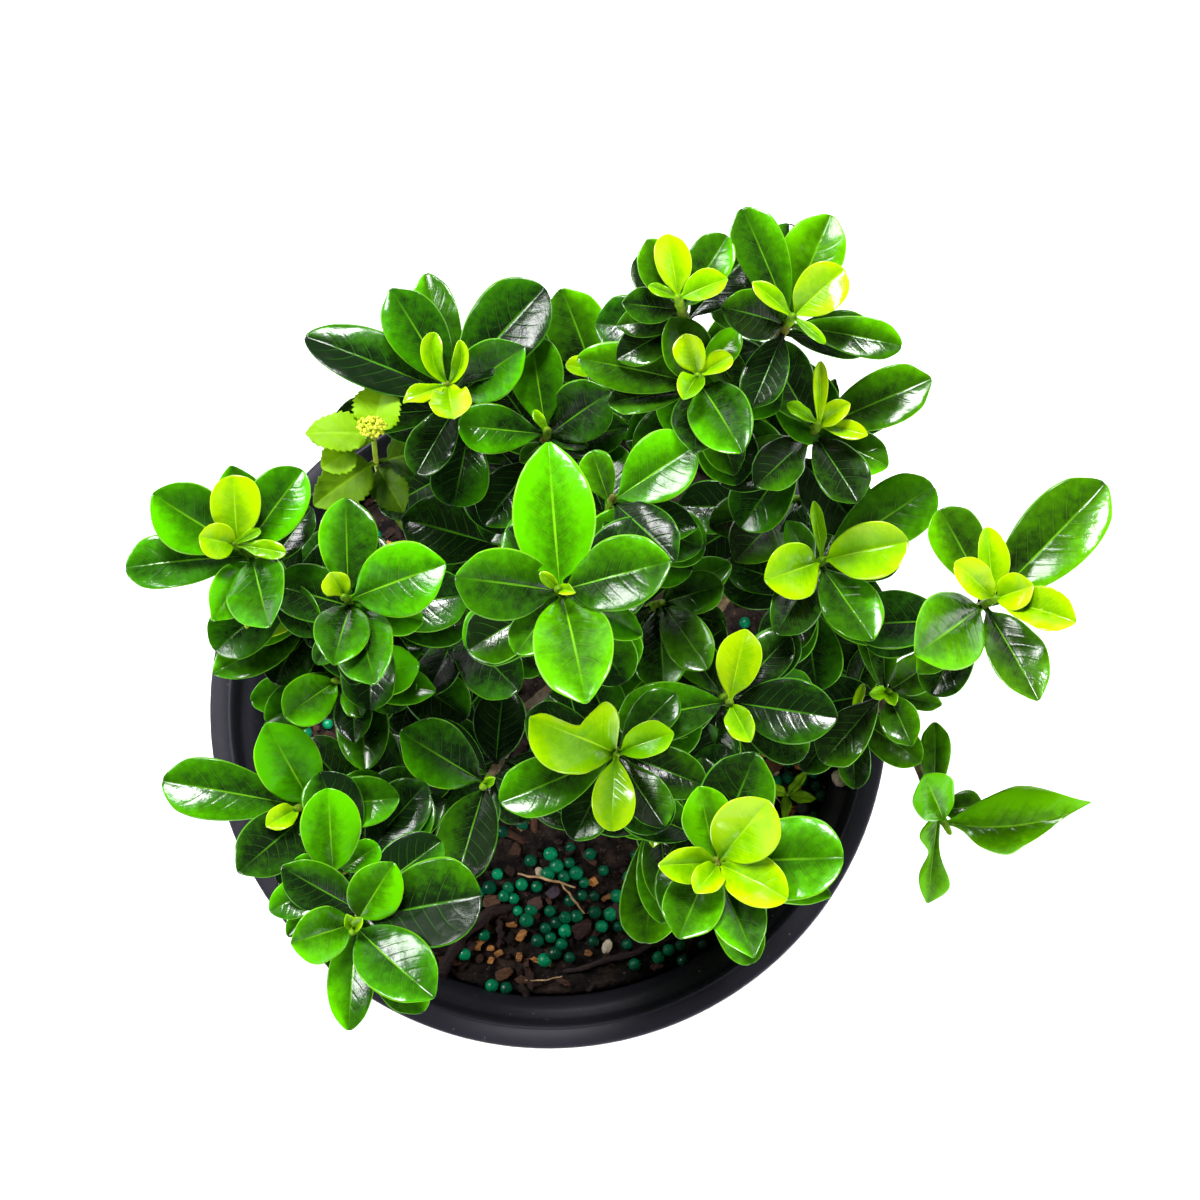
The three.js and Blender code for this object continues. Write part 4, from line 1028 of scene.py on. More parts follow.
# %% Leaf finish
# BLACK_GREEN, the darkest tone, is partly painted shade: the colour given to leaves deep in the bush.
BLACK_GREEN, DEEP_GREEN, CLEAR_GREEN = (0.004, 0.014, 0.003), (0.023, 0.13, 0.0005), (0.07, 0.4, 0.0)
MOSS, LIME, YELLOW = (0.045, 0.18, 0.0), (0.11, 0.39, 0.0), (0.24, 0.56, 0.0)
DULL_EDGE, BRIGHT_EDGE, YELLOW_EDGE = (0.07, 0.3, 0.01), (0.28, 0.68, 0.01), (0.5, 0.74, 0.02)
WARM = (1.7, 0.95, 1)  # what turns a green more yellow


def leaf_finish(name, tones, edges, vein, least_roughness, polish):
    finish = Finish(name)
    across, along = finish.on_blade()
    fresh, lime, under = (finish.attribute(shade) for shade in SHADES)
    cloud = finish.noise(60, detail=2)
    mottle = finish.noise(230, detail=6, roughness=0.7)
    crinkle = finish.noise(520, detail=4, roughness=0.65)
    fine = finish.noise(1500, detail=3)

    phase = (along - across * (across * VEIN_ARC + VEIN_SWEEP)) * VEIN_PAIRS
    ridge = abs(phase.math("FRACT") - 0.5)  # 0.5 on a side vein, 0 half-way between two
    inward = across.between(0.9, 0.45) * along.between(0.95, 0.75)
    side_vein = ridge.between(0.43, 0.5) * inward
    rib = across.between(0.045, 0.012) * along.between(1.05, 0.35)
    veins = (side_vein * vein).math("MAXIMUM", rib * 0.7)
    # The thin pale margin: partly its own paler edge and partly painted light, as light shines through the
    # thin blade there.
    margin = across.between(0.94, 0.985)

    # Painted light and shade: the blade is painted lighter towards its margin and its tip, and darker along
    # the midrib, where the middle of the leaf lies in shade.
    rim = (across.between(0.1, 1.0) * 0.42 + along.between(0.4, 1.0) * 0.16) * (fresh * 0.8 + 0.4) - 0.1
    # The side veins lie in sunken furrows, and the colour also darkens them as painted shade.
    furrow_with_shade = ridge.between(0.3, 0.46) * inward
    patches = (cloud - 0.5) * 0.35 + (mottle - 0.5) * 0.5 + (crinkle - 0.5) * 0.6
    shade = fresh + patches + rim - furrow_with_shade * 0.08 - 0.06
    colour = finish.blend(shade.between(-0.05, 0.55), tones[0], tones[1])
    colour = finish.blend(shade.between(0.4, 1.05), colour, tones[2])
    colour = finish.blend(lime, colour, WARM, "MULTIPLY")
    line = finish.blend(fresh, *edges)
    colour = finish.blend(veins, colour, line)
    colour = finish.blend(margin * 0.85, colour, line)
    pale = finish.blend(fresh, (0.05, 0.13, 0.02), (0.16, 0.4, 0.02))
    colour = finish.blend(under * 0.85, colour, pale)

    wax = fresh.between(-0.2, 0.6)  # old leaves in the shade have lost most of their polish
    roughness = mottle * 0.2 + under * 0.25 - wax * 0.06 + least_roughness
    height = furrow_with_shade * -0.2 + rib * -0.5 + mottle * 0.45 + crinkle * 0.45 + fine * 0.05
    normal = finish.bump(height, 0.3, 0.0006)
    coat = {"Coat_Weight": wax * polish + 0.02, "Coat_Roughness": 0.1}
    return finish.shaded(colour, roughness, normal, Specular_IOR_Level=0.36, **coat)


OLD_TONES, NEW_TONES = (BLACK_GREEN, DEEP_GREEN, CLEAR_GREEN), (MOSS, LIME, YELLOW)
OLD_EDGES, NEW_EDGES = (DULL_EDGE, BRIGHT_EDGE), (BRIGHT_EDGE, YELLOW_EDGE)
old_leaf = leaf_finish("waxy_leaf", OLD_TONES, OLD_EDGES, vein=0.15, least_roughness=0.11, polish=0.08)
new_leaf = leaf_finish("new_leaf", NEW_TONES, NEW_EDGES, vein=0.2, least_roughness=0.12, polish=0.4)
print("nodes in a leaf's net:", len(old_leaf.node_tree.nodes))

# %% [markdown]
# ## The shoots
# Each shoot leaves its limb at a share of the limb's length and bends up to its tip. Leaves stand in
# crossed pairs below the tip, given from the top down as direction, length, rise and width; each growing
# tip may carry new leaves. The last word of a leaf says how light it is: partly its age, since a leaf
# starts pale and turns black green, and partly painted shade, since leaves that lie in shade got the
# darker words. Older pairs that nothing in the photograph shows follow a rule, and `older` says how
# many there are.
# The table is the one that the solids were made with. It began as readings of the photograph by eye, which
# a small program outside this script turned into millimetres and degrees, and much of it was changed since.
# Another such program took the first steps of age from the photograph's leaf colours, and some were then
# set by eye.

# %% Shoot table
# The darker words stand partly for a leaf's age and partly for painted shade, given to leaves that lie in
# shade.
OLD, GROWN, FRESH, NEW = 0.1, 0.35, 0.57, 0.75  # how light a leaf is


def shoot(name, limb, at, tip, older, leaves, young=()):
    return {"name": name, "limb": limb, "at": at, "tip": np.array(tip, float), "older": older,
            "leaves": leaves, "young": young}


SHOOTS = [
    shoot("crown", "centre", 1, (6, 18, 360), older=2,
          young=[(140, 6, 35, 3, GROWN), (-20, 7, 60, 3.5, FRESH)],
          leaves=[(95, 33, 14, 19, NEW), (10, 28, 28, 17, GROWN), (175, 27, 32, 17, GROWN),
                  (-75, 36, 42, 19, FRESH), (130, 19, 12, 11, OLD), (-125, 20, 30, 10, GROWN),
                  (-30, 26, 38, 9, FRESH)]),
    shoot("east_outer", "east", 0.75, (110, 20, 310), older=1,
          young=[(100, 18, 20, 9, NEW), (145, 16, 35, 9, NEW), (15, 12, 50, 10, NEW),
                 (-20, 21, 30, 12, FRESH)],
          leaves=[(45, 40, 14, 20, GROWN), (120, 26, 16, 14, GROWN), (-145, 34, 45, 20, FRESH),
                  (-65, 29, 26, 15, GROWN), (-135, 23, 10, 9, GROWN)]),
    shoot("southeast", "south", 1, (43, -43, 310), older=1,
          young=[(55, 27, 48, 17, NEW), (180, 19, 42, 10, FRESH), (-25, 21, 34, 13, FRESH),
                 (-130, 14, 46, 8, FRESH)],
          leaves=[(0, 33, 34, 21, FRESH), (105, 22, 36, 13, NEW), (70, 32, 48, 19, OLD),
                  (-115, 27, 40, 15, GROWN), (-70, 34, 42, 16, GROWN), (-20, 31, 12, 12, GROWN),
                  (-70, 30, 10, 13, GROWN)]),
    shoot("west_outer", "west", 1, (-74, 34, 300), older=1,
          young=[(90, 19, 34, 12, NEW), (170, 11, 44, 10, NEW), (-10, 13, 14, 5, GROWN),
                 (25, 7, 12, 3, GROWN)],
          leaves=[(150, 27, 28, 18, FRESH), (50, 26, 22, 16, FRESH), (-174, 31, 12, 15, GROWN),
                  (-65, 31, 48, 17, GROWN), (-120, 26, 46, 12, FRESH), (100, 28, 38, 14, GROWN),
                  (50, 19, 10, 10, OLD)]),
    shoot("northwest", "northwest", 1, (-22, 73, 305), older=0,
          young=[(100, 14, 30, 9, FRESH), (60, 12, 24, 6, FRESH), (-80, 16, 50, 9, FRESH),
                 (-155, 12, 16, 4, FRESH)],
          leaves=[(120, 29, 16, 16, GROWN), (45, 35, 22, 21, OLD), (25, 28, 32, 16, GROWN),
                  (160, 40, 12, 16, OLD), (105, 33, 10, 12, GROWN), (-118, 22, 14, 13, OLD),
                  (155, 27, 8, 8, OLD), (-165, 32, 2, 11, OLD)]),
    shoot("north_outer", "north", 0.8, (33, 85, 350), older=2,
          young=[(100, 15, 24, 9, NEW), (20, 12, 20, 8, FRESH), (160, 7, 15, 3, GROWN)],
          leaves=[(130, 15, 16, 6, NEW), (120, 23, 28, 16, GROWN), (55, 20, 22, 12, GROWN),
                  (180, 15, 26, 9, OLD), (-170, 16, 10, 8, OLD)]),
    shoot("northeast_tall", "north", 1, (59, 82, 345), older=2,
          young=[(40, 17, 34, 12, FRESH), (140, 12, 16, 5, FRESH), (-45, 10, 16, 3, GROWN)],
          leaves=[(115, 28, 16, 13, GROWN), (70, 27, 26, 16, FRESH), (-12, 27, 12, 10, GROWN),
                  (175, 20, 38, 12, OLD)]),
    shoot("north_middle", "north", 0.7, (38, 70, 335), older=1,
          young=[(110, 11, 32, 8, NEW), (30, 9, 18, 6, NEW), (-120, 12, 50, 7, GROWN)],
          leaves=[(120, 20, 42, 13, GROWN), (50, 15, 16, 8, NEW), (-65, 27, 40, 16, GROWN),
                  (170, 30, 14, 12, GROWN), (-100, 25, 44, 13, OLD), (-170, 23, 10, 10, OLD),
                  (35, 19, 12, 9, OLD), (75, 20, 30, 6, GROWN)]),
    shoot("north_crown", "centre", 0.7, (18, 43, 325), older=1,
          leaves=[(30, 25, 26, 17, FRESH), (-45, 24, 28, 14, OLD), (110, 14, 16, 9, GROWN),
                  (-80, 12, 15, 7, OLD), (-10, 22, 16, 11, OLD)]),
    shoot("northeast", "north", 0.5, (67, 61, 320), older=1,
          young=[(30, 11, 46, 6, NEW), (-15, 12, 18, 5, NEW), (150, 9, 16, 4, GROWN), (90, 15, 24, 4, NEW)],
          leaves=[(125, 26, 30, 14, OLD), (20, 30, 14, 15, GROWN), (-25, 20, 12, 11, GROWN),
                  (-60, 22, 22, 14, OLD), (-135, 24, 34, 12, OLD), (65, 16, 30, 6, OLD)]),
    shoot("south_crown", "south", 0.5, (19, -17, 310), older=2,
          young=[(165, 27, 36, 18, FRESH), (20, 16, 28, 10, NEW), (-95, 19, 16, 11, FRESH)],
          leaves=[(-155, 31, 14, 15, GROWN), (-60, 22, 20, 12, OLD)]),
    shoot("west_upper", "west", 0.75, (-47, 21, 305), older=1,
          young=[(120, 9, 50, 8, NEW)],
          leaves=[(90, 25, 16, 16, GROWN), (15, 31, 34, 19, FRESH), (-100, 24, 46, 15, GROWN),
                  (-15, 19, 14, 12, FRESH), (-70, 30, 42, 16, GROWN), (-120, 18, 14, 7, OLD)]),
    shoot("southwest_outer", "southwest", 1, (-46, -60, 290), older=1,
          young=[(105, 6, 50, 3.5, GROWN), (45, 8, 52, 3.5, GROWN)],
          leaves=[(-165, 22, 48, 15, FRESH), (-40, 30, 28, 18, GROWN), (55, 22, 36, 14, FRESH),
                  (10, 38, 32, 23, OLD), (-95, 29, 14, 13, GROWN), (-55, 29, 10, 14, GROWN)]),
    shoot("southwest_node", "southwest", 0.9, (-53, -48, 280), older=0,
          leaves=[(90, 25, 28, 16, NEW), (-150, 18, 14, 11, GROWN), (35, 13, 18, 8, FRESH),
                  (165, 13, 34, 7, GROWN), (-130, 22, 12, 8, GROWN)]),
    shoot("centre_east", "east", 0.25, (47, -4, 295), older=2,
          young=[(80, 19, 20, 12, NEW), (-65, 13, 36, 8, FRESH)],
          leaves=[(-170, 29, 14, 16, GROWN), (-10, 28, 20, 17, OLD), (45, 23, 16, 12, OLD)]),
    shoot("east_inner", "east", 0.5, (70, 31, 295), older=1,
          young=[(-155, 21, 40, 15, FRESH), (8, 24, 34, 16, FRESH), (100, 15, 24, 4, OLD)],
          leaves=[(35, 34, 14, 17, GROWN), (-60, 26, 28, 15, GROWN), (-125, 28, 40, 14, OLD),
                  (5, 21, 14, 10, OLD), (125, 18, 40, 8, GROWN)]),
    shoot("north_inner", "northwest", 0.8, (2, 62, 305), older=1,
          young=[(125, 6, 24, 3, GROWN)],
          leaves=[(100, 25, 16, 14, FRESH), (178, 22, 14, 13, GROWN), (30, 25, 44, 16, OLD),
                  (-15, 11, 15, 5, GROWN), (-135, 10, 36, 5, GROWN), (5, 26, 34, 13, OLD)]),
    shoot("north_gap", "northwest", 0.6, (14, 79, 290), older=1,
          young=[(170, 9, 34, 6, FRESH)],
          leaves=[(110, 25, 28, 16, GROWN), (55, 17, 48, 9, OLD)]),
    shoot("west_inner", "west", 0.9, (-62, 18, 270), older=1,
          young=[(180, 15, 22, 10, NEW), (75, 11, 16, 4, GROWN)],
          leaves=[(-175, 20, 14, 12, FRESH), (-150, 28, 14, 14, GROWN)]),
    shoot("west_lower", "west", 0.7, (-54, 3, 265), older=0,
          leaves=[(-140, 22, 44, 14, FRESH), (10, 23, 20, 14, NEW), (-65, 13, 30, 8, GROWN),
                  (-10, 25, 14, 11, GROWN), (-85, 21, 32, 11, OLD), (-150, 27, 22, 14, GROWN),
                  (-85, 29, 26, 15, GROWN), (-165, 30, 12, 11, FRESH), (170, 25, 12, 9, OLD)]),
    shoot("southwest_inner", "southwest", 0.8, (-63, -30, 260), older=0,
          young=[(-145, 12, 44, 7, NEW)],
          leaves=[(115, 29, 42, 18, NEW), (168, 38, 12, 17, GROWN), (-135, 32, 42, 17, OLD),
                  (5, 25, 24, 14, GROWN), (30, 17, 14, 9, GROWN)]),
    shoot("south_buds", "south", 0.8, (30, -32, 275), older=1,
          young=[(120, 7, 45, 4, FRESH), (40, 6, 48, 3, FRESH), (-100, 8, 20, 4, FRESH),
                 (-45, 7, 40, 3, FRESH)],
          leaves=[(75, 21, 40, 14, OLD), (175, 26, 40, 14, OLD), (-85, 25, 14, 14, OLD),
                  (40, 21, 24, 13, OLD), (-90, 30, 12, 13, GROWN), (-95, 35, 8, 17, GROWN),
                  (-175, 33, 10, 13, OLD)]),
    shoot("centre_low", "centre", 0.35, (31, 22, 280), older=1,
          leaves=[(15, 18, 28, 12, GROWN), (-55, 25, 34, 13, GROWN), (-85, 27, 34, 15, GROWN),
                  (30, 22, 18, 11, GROWN)]),
    shoot("east_middle", "east", 0.85, (90, 0, 265), older=1,
          young=[(-75, 6, 55, 4, GROWN), (-140, 8, 48, 4, GROWN)],
          leaves=[(35, 17, 42, 11, GROWN), (-70, 17, 28, 11, GROWN), (-15, 15, 14, 6, GROWN),
                  (95, 22, 16, 9, GROWN), (110, 24, 32, 7, GROWN)]),
    shoot("northeast_low", "north", 0.5, (68, 52, 256), older=0,
          leaves=[(-135, 30, 34, 16, OLD), (-50, 22, 34, 13, OLD), (-105, 28, 18, 15, OLD),
                  (170, 24, 16, 13, OLD)]),
    shoot("south_inner", "southwest", 0.35, (-16, -24, 245), older=0,
          young=[(35, 6, 55, 3, GROWN)],
          leaves=[(150, 30, 32, 19, GROWN), (-105, 30, 24, 18, OLD)]),
    shoot("centre_west", "west", 0.3, (-25, 19, 245), older=0,
          leaves=[(-45, 34, 40, 18, OLD), (150, 22, 20, 13, OLD), (-110, 28, 42, 12, OLD),
                  (70, 20, 16, 13, OLD)]),
    shoot("centre_north", "northwest", 0.35, (-11, 39, 258), older=0,
          leaves=[(165, 28, 12, 19, OLD), (-95, 22, 26, 14, OLD), (100, 24, 16, 15, OLD),
                  (40, 20, 24, 13, OLD), (-150, 24, 10, 14, OLD), (-20, 20, 12, 13, OLD)]),
    shoot("east_low", "east", 0.7, (83, -5, 240), older=1,
          young=[(-135, 11, 16, 6, GROWN), (70, 9, 14, 3, NEW)],
          leaves=[(-90, 21, 14, 10, OLD), (-35, 23, 14, 12, GROWN)]),
    shoot("northwest_low", "northwest", 0.5, (-26, 66, 225), older=0,
          leaves=[(-175, 20, 12, 12, OLD), (-145, 29, 32, 15, OLD), (-35, 20, 46, 13, OLD)]),
    shoot("south_low", "southwest", 0.5, (-48, -41, 225), older=1,
          leaves=[(0, 22, 30, 14, OLD), (-12, 14, 14, 9, OLD)]),
    shoot("east_hanging", "east", 1, (111, -36, 225), older=0,
          leaves=[(10, 41, 12, 18, NEW), (120, 21, 46, 14, NEW), (-95, 30, -30, 10, NEW),
                  (5, 12, 12, 10, GROWN), (90, 23, 26, 9, GROWN)]),
]
print("shoots:", len(SHOOTS))

# %% [markdown]
# ## Which place each leaf took
# Where two leaves would have crossed, the solids shortened, lifted or turned one of them a little, trying
# the mildest change first. The dressed leaf has to take the same change. It is found from the leaf's
# tip: the change whose tip lies on a corner of the solid is the one that was used. A leaf that found no
# room has no such corner, and it is left out here too.

# %% Stems and changes
FIRST_PAIR, PAIR_PITCH, BELOW_PAIRS = 2.5, 4.8, 6  # mm below the tip, between pairs, and below the last
LEAFY_SHARE, STEM_STEP = 0.64, 38  # the most of a shoot that bears leaves, and mm between ring centres
SUNK, GAP = 0.45, 0.3  # mm that a stalk starts inside its stem, and that a bud stands off it
BUD_START, BUD_PITCH = 1.2, 0.7  # mm from the gap to the first young leaf, and to each next one
TIP_MATCH = 0.06  # mm between a leaf's tip and the corner of the solid that it must fall on
SCALES, SLIDES = (1, 0.92, 0.84, 0.74), (0, 1.6, -1.6, 3.2, 5)
LIFTS, SWINGS = (0, 7, -7, 14, -14, 22), (0, 9, -9, 18, -18, 30, -30)


def cost(change):
    """How far a change of size, place, rise and direction takes a leaf from where it should be."""
    scale, slide, lift, swing = change
    return 60 * (1 - scale) + 2 * abs(slide) + 0.6 * abs(lift) + 0.55 * abs(swing)


CHANGES = sorted(product(SCALES, SLIDES, LIFTS, SWINGS), key=cost)


def stem_of(shoot):
    """A shoot as in the solids: its axis, its leafy length, the ring centres there and its tip's heading."""
    start = limb_curves[shoot["limb"]].point(shoot["at"])
    span = shoot["tip"] - start
    heading = unit(unit(span) + (0, 0, 1))
    late = shoot["tip"] - heading * 0.4 * np.linalg.norm(span)
    axis = bend(start, start + 0.25 * span, late, shoot["tip"])
    levels = math.ceil(len(shoot["leaves"]) / 2) + shoot["older"]
    leafy = min(FIRST_PAIR + PAIR_PITCH * (levels - 1) + BELOW_PAIRS, LEAFY_SHARE * axis.length)
    steps = 1 + math.floor(leafy / STEM_STEP + 0.5)
    centres = through(axis.spaced(steps, axis.length - leafy, axis.length)).spaced(steps)
    return {"axis": axis, "leafy": leafy, "centres": centres, "heading": heading}


def before_end(points, distance):
    """The place so many millimetres before the end of a line of points."""
    left = distance
    for k in range(len(points) - 1, 0, -1):
        step = np.linalg.norm(points[k] - points[k - 1])
        if left <= step or k == 1:
            return points[k] + (points[k - 1] - points[k]) * min(1, left / step)
        left -= step


def rows_of(shoot, number):
    """Each leaf's row, with its pair, its order in the table and whether it is young; older pairs last."""
    rows = [(row, -1, k, True) for k, row in enumerate(shoot["young"])]
    rows += [(row, k // 2, k, False) for k, row in enumerate(shoot["leaves"])]
    levels = math.ceil(len(shoot["leaves"]) / 2)
    for k in range(2 * shoot["older"]):
        pair, chance = k // 2, draw(number * 31 + k)
        length = 22 + 7 * (chance - 0.5)
        azimuth = 97 * pair + 40 * number + 30 * chance + 180 * (k % 2)
        rows.append(((azimuth, length, 8 - 3 * pair, 0.56 * length, OLD), levels + pair, -1, False))
    return rows


def tip_of(leaf):
    spine, _, normal = midrib(leaf, np.ones((1, 1)))
    return leaf["root"] + spine[0, 0] + HALF_THICKNESS * normal[0, 0]


def corners_of(node):
    """The corners of a solid in millimetres, in a tree that finds the nearest."""
    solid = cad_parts[node]
    tree = KDTree(len(solid.data.vertices))
    for k, vertex in enumerate(solid.data.vertices):
        tree.insert((solid.matrix_world @ vertex.co) / MM, k)
    tree.balance()
    return tree


def place_leaf(row, level, order, youth, stem, number, corners):
    """The leaf as the solids have it, or None where they have no such leaf."""
    azimuth, length, lift, width, _ = row
    for scale, slide, lifted, swing in CHANGES:
        if youth and slide:
            continue
        if youth:
            root = stem["centres"][-1] + stem["heading"] * (GAP + BUD_START + BUD_PITCH * order)
        else:
            root = before_end(stem["centres"], FIRST_PAIR + PAIR_PITCH * level + slide)
        root = root + SUNK * level_axes(azimuth + swing)[0]
        leaf = {"root": root, "azimuth": azimuth + swing, "length": length * scale, "lift": lift + lifted,
                "width": width * scale, **character(number, youth)}
        if corners.find(tip_of(leaf))[2] < TIP_MATCH:
            return leaf
    return None


print("changes to try:", len(CHANGES))

# %% [markdown]
# ## Dressing the shoots
# Each shoot becomes two pieces, as in the solids: its stem with the grown leaves, and the new growth at
# its tip; a shoot with no new growth has only the first, which ends in a bud. A few leaves in the
# photograph have a look of their own, such as a lobed young leaf or a twisted one that hangs from the
# lowest twig; the table of special leaves holds what differs for them.

# %% Special leaves
# Margins to the left and to the right of the midrib: share of the length, then half the width in millimetres.
LOBED = ([(0, 0.5), (0.15, 5), (0.33, 8.3), (0.67, 9.6), (0.89, 6.3), (1, 0.4)],
         [(0, 0.5), (0.12, 6.6), (0.26, 9.4), (0.42, 10.2), (0.5, 6), (0.55, 2.4), (0.88, 2.2), (1, 0.3)])
WAVY = ([(0, 0.5), (0.2, 6.8), (0.4, 10.9), (0.56, 11.5), (0.78, 8), (1, 0.3)],
        [(0, 0.5), (0.12, 1.6), (0.25, 6), (0.4, 8.4), (0.52, 5.9), (0.75, 1.4), (1, 0.3)])
PINCHED = ([(0, 0.5), (0.2, 1.4), (0.42, 2), (0.75, 6), (1, 0.3)],
           [(0, 0.5), (0.2, 5.6), (0.42, 1.6), (0.7, 3.4), (1, 0.3)])
SPECIAL = {
    ("crown", "leaf", 0): {"base": 0.6, "tip": 0.72, "point": 0.1, "twist": 0, "curl": -0.02, "cup": -0.12},
    ("crown", "leaf", 1): {"base": 0.8, "tip": 0.6},
    ("crown", "leaf", 2): {"base": 0.75, "tip": 0.5},
    ("crown", "leaf", 3): {"base": 0.85, "tip": 0.62},
    ("south_crown", "young", 0): {"roll": 0, "fold": 6, "curl": 0.02, "twist": 0, "azimuth": 156,
                                  "margins": LOBED},
    ("south_crown", "young", 1): {"lime": 0.0},
    ("northwest", "young", 0): {"azimuth": 146, "bow": -100, "sweep": 0, "curl": 0.2, "fold": 35, "tip": 0.4,
                                "width": 6.5, "length": 15, "roll": 0},
    ("northwest", "young", 1): {"azimuth": 34, "bow": 100, "sweep": 0, "curl": 0.2, "fold": 40, "width": 5,
                                "length": 13.5, "roll": 0},
    ("northwest", "young", 2): {"tip": 0.3, "point": 0.0, "width": 11, "wave": 0.8},
    ("northwest", "young", 3): {"twist": 80, "wave": 0.9, "width": 5},
    ("west_outer", "young", 0): {"width": 13, "tip": 0.38, "base": 0.7, "point": 0.0},
    ("west_upper", "young", 0): {"tip": 0.4, "point": 0.0},
    ("east_hanging", "leaf", 0): {"twist": 20, "wave": 1.4, "waves": 1.7, "quilt": 0.22, "azimuth": -12,
                                  "bow": 42, "sweep": 0, "margins": WAVY},
    ("east_hanging", "leaf", 2): {"twist": 30, "wave": 0.9, "waves": 1.7, "quilt": 0.1, "margins": PINCHED},
}
print("special leaves:", len(SPECIAL))


# %% Green stems and buds
STEM_SIDES, STEM_RING = 12, 0.8  # and mm between the rings of a stem
STEM_ANGLES = np.arange(STEM_SIDES)[None, :] * np.pi / 6
SWELLING, STEM_RIBS, BUD_SCALES = 0.28, 0.07, 0.12  # mm at a pair, mm of ribs, share of a bud's radius
BUD_RINGS, BUD_LENGTH, BARE_BUD_LENGTH, BARE_BUD_SUNK = 12, 4.6, 3.4, 0.4


def stem_finish():
    finish = Finish("green_stem")
    along = finish.noise(260, detail=5, roughness=0.6)
    patch = finish.noise(60, detail=2)
    colour = finish.blend(along.between(0.3, 0.7), (0.06, 0.16, 0.005), (0.2, 0.38, 0.01))
    colour = finish.blend(patch.between(0.48, 0.66) * 0.8, colour, (0.12, 0.08, 0.02))
    normal = finish.bump(along, 0.4, 0.0004)
    return finish.shaded(colour, along * 0.2 + 0.45, normal, Specular_IOR_Level=0.2)


green_stem = stem_finish()


def add_stem(draft, stem, levels, seed):
    """The green stem, a little swollen at each pair of leaves, with ribs along it."""
    centres = through(stem["centres"]) if len(stem["centres"]) > 2 else None
    steps = max(LEAST_STEPS, int(stem["leafy"] / STEM_RING))
    first, last = stem["centres"][0], stem["centres"][-1]
    path = centres.spaced(steps) if centres else np.linspace(first, last, steps + 1)
    radii = np.linspace(LEAFY_RADIUS, YOUNG_RADIUS, steps + 1)
    from_tip = np.linspace(stem["leafy"], 0, steps + 1)
    pairs = [FIRST_PAIR + PAIR_PITCH * k for k in range(max(1, levels))]
    swollen = sum(np.exp(-(((from_tip - pair) / 0.8) ** 2)) for pair in pairs)
    relief = SWELLING * swollen[:, None] + STEM_RIBS * np.sin(4 * STEM_ANGLES + seed)
    draft.add(*swept(path, radii, STEM_SIDES, relief), 1)


def add_bud(draft, base, heading, length, radius):
    """A growing tip: two pressed scales that close to a point."""
    share = np.linspace(0, 1, BUD_RINGS)
    path = np.array([base + heading * length * s for s in share])
    radii = radius * (0.25 + 1.1 * np.sin(np.pi * (0.12 + 0.86 * share)) ** 0.8) * (1 - 0.35 * share)
    relief = BUD_SCALES * radii[:, None] * np.sign(np.sin(STEM_ANGLES)) * share[:, None]
    draft.add(*swept(path, radii, STEM_SIDES, relief), 1)


print("sides of a stem:", STEM_SIDES)


# %% Leaves of the shaded storey
# Painted shade: leaves rooted lower than FULL_LIGHT are painted darker, by a full shade for each LIGHT_FADE
# mm.
FULL_LIGHT, LIGHT_FADE = 300, 260  # leaves rooted lower are darker, a full shade for each 260 mm
SHADED_PAIRS, SHADED_PITCH, SHADED_REACH = 4, 6.5, 96  # pairs on a shoot, mm between them, mm from the axis
SHADED_FIRST, SHADED_LAST = 3, 5  # mm from the leafy part to the first pair, and least mm to the limb
SHADED_NUMBER, NUMBERS_EACH = 5000, 40  # where their numbers begin, and how many a shoot has


def shaded_leaves(number, stem):
    """Old leaves on the bare part of a shoot, where they hide none of the mix that shows, dark with age and
    with painted shade.
    """
    found = []
    bare = stem["axis"].length - stem["leafy"]
    for pair, side in product(range(SHADED_PAIRS), range(2)):
        distance = bare - SHADED_FIRST - SHADED_PITCH * pair
        if distance < SHADED_LAST:
            break
        own = SHADED_NUMBER + number * NUMBERS_EACH + 2 * pair + side
        azimuth = 97 * pair + 63 * number + 180 * side + 40 * draw(own)
        length, lift = 21 + 7 * draw(own + 0.4), 14 * draw(own + 0.2)
        width = length * (0.6 + 0.1 * draw(own + 0.1))
        leaf = {"root": stem["axis"].at(distance), "azimuth": azimuth, "length": length, "lift": lift,
                "width": width, **character(own), **variety(own, False), "lime": 0.0}
        tip = (leaf["root"] + length * level_axes(azimuth)[0])[:2]
        if any(math.dist(tip, centre) < room for centre, room in WINDOWS) or np.hypot(*tip) > SHADED_REACH:
            continue
        # Painted shade: the lower a leaf is rooted, the darker it is painted.
        leaf["fresh"] = 0.2 * draw(own + 0.3) + 0.05 - (FULL_LIGHT - leaf["root"][2]) / LIGHT_FADE * 0.5
        found.append(leaf)
    return found


print("at most", 2 * SHADED_PAIRS, "shaded leaves on a shoot")


# %% One shoot
AGE_SPREAD, LIME_SPREAD, YOUNG_LIME = 0.12, 0.4, 0.3
LIME_REACH = 300  # leaves are yellower towards the east, by a full shade in so many millimetres


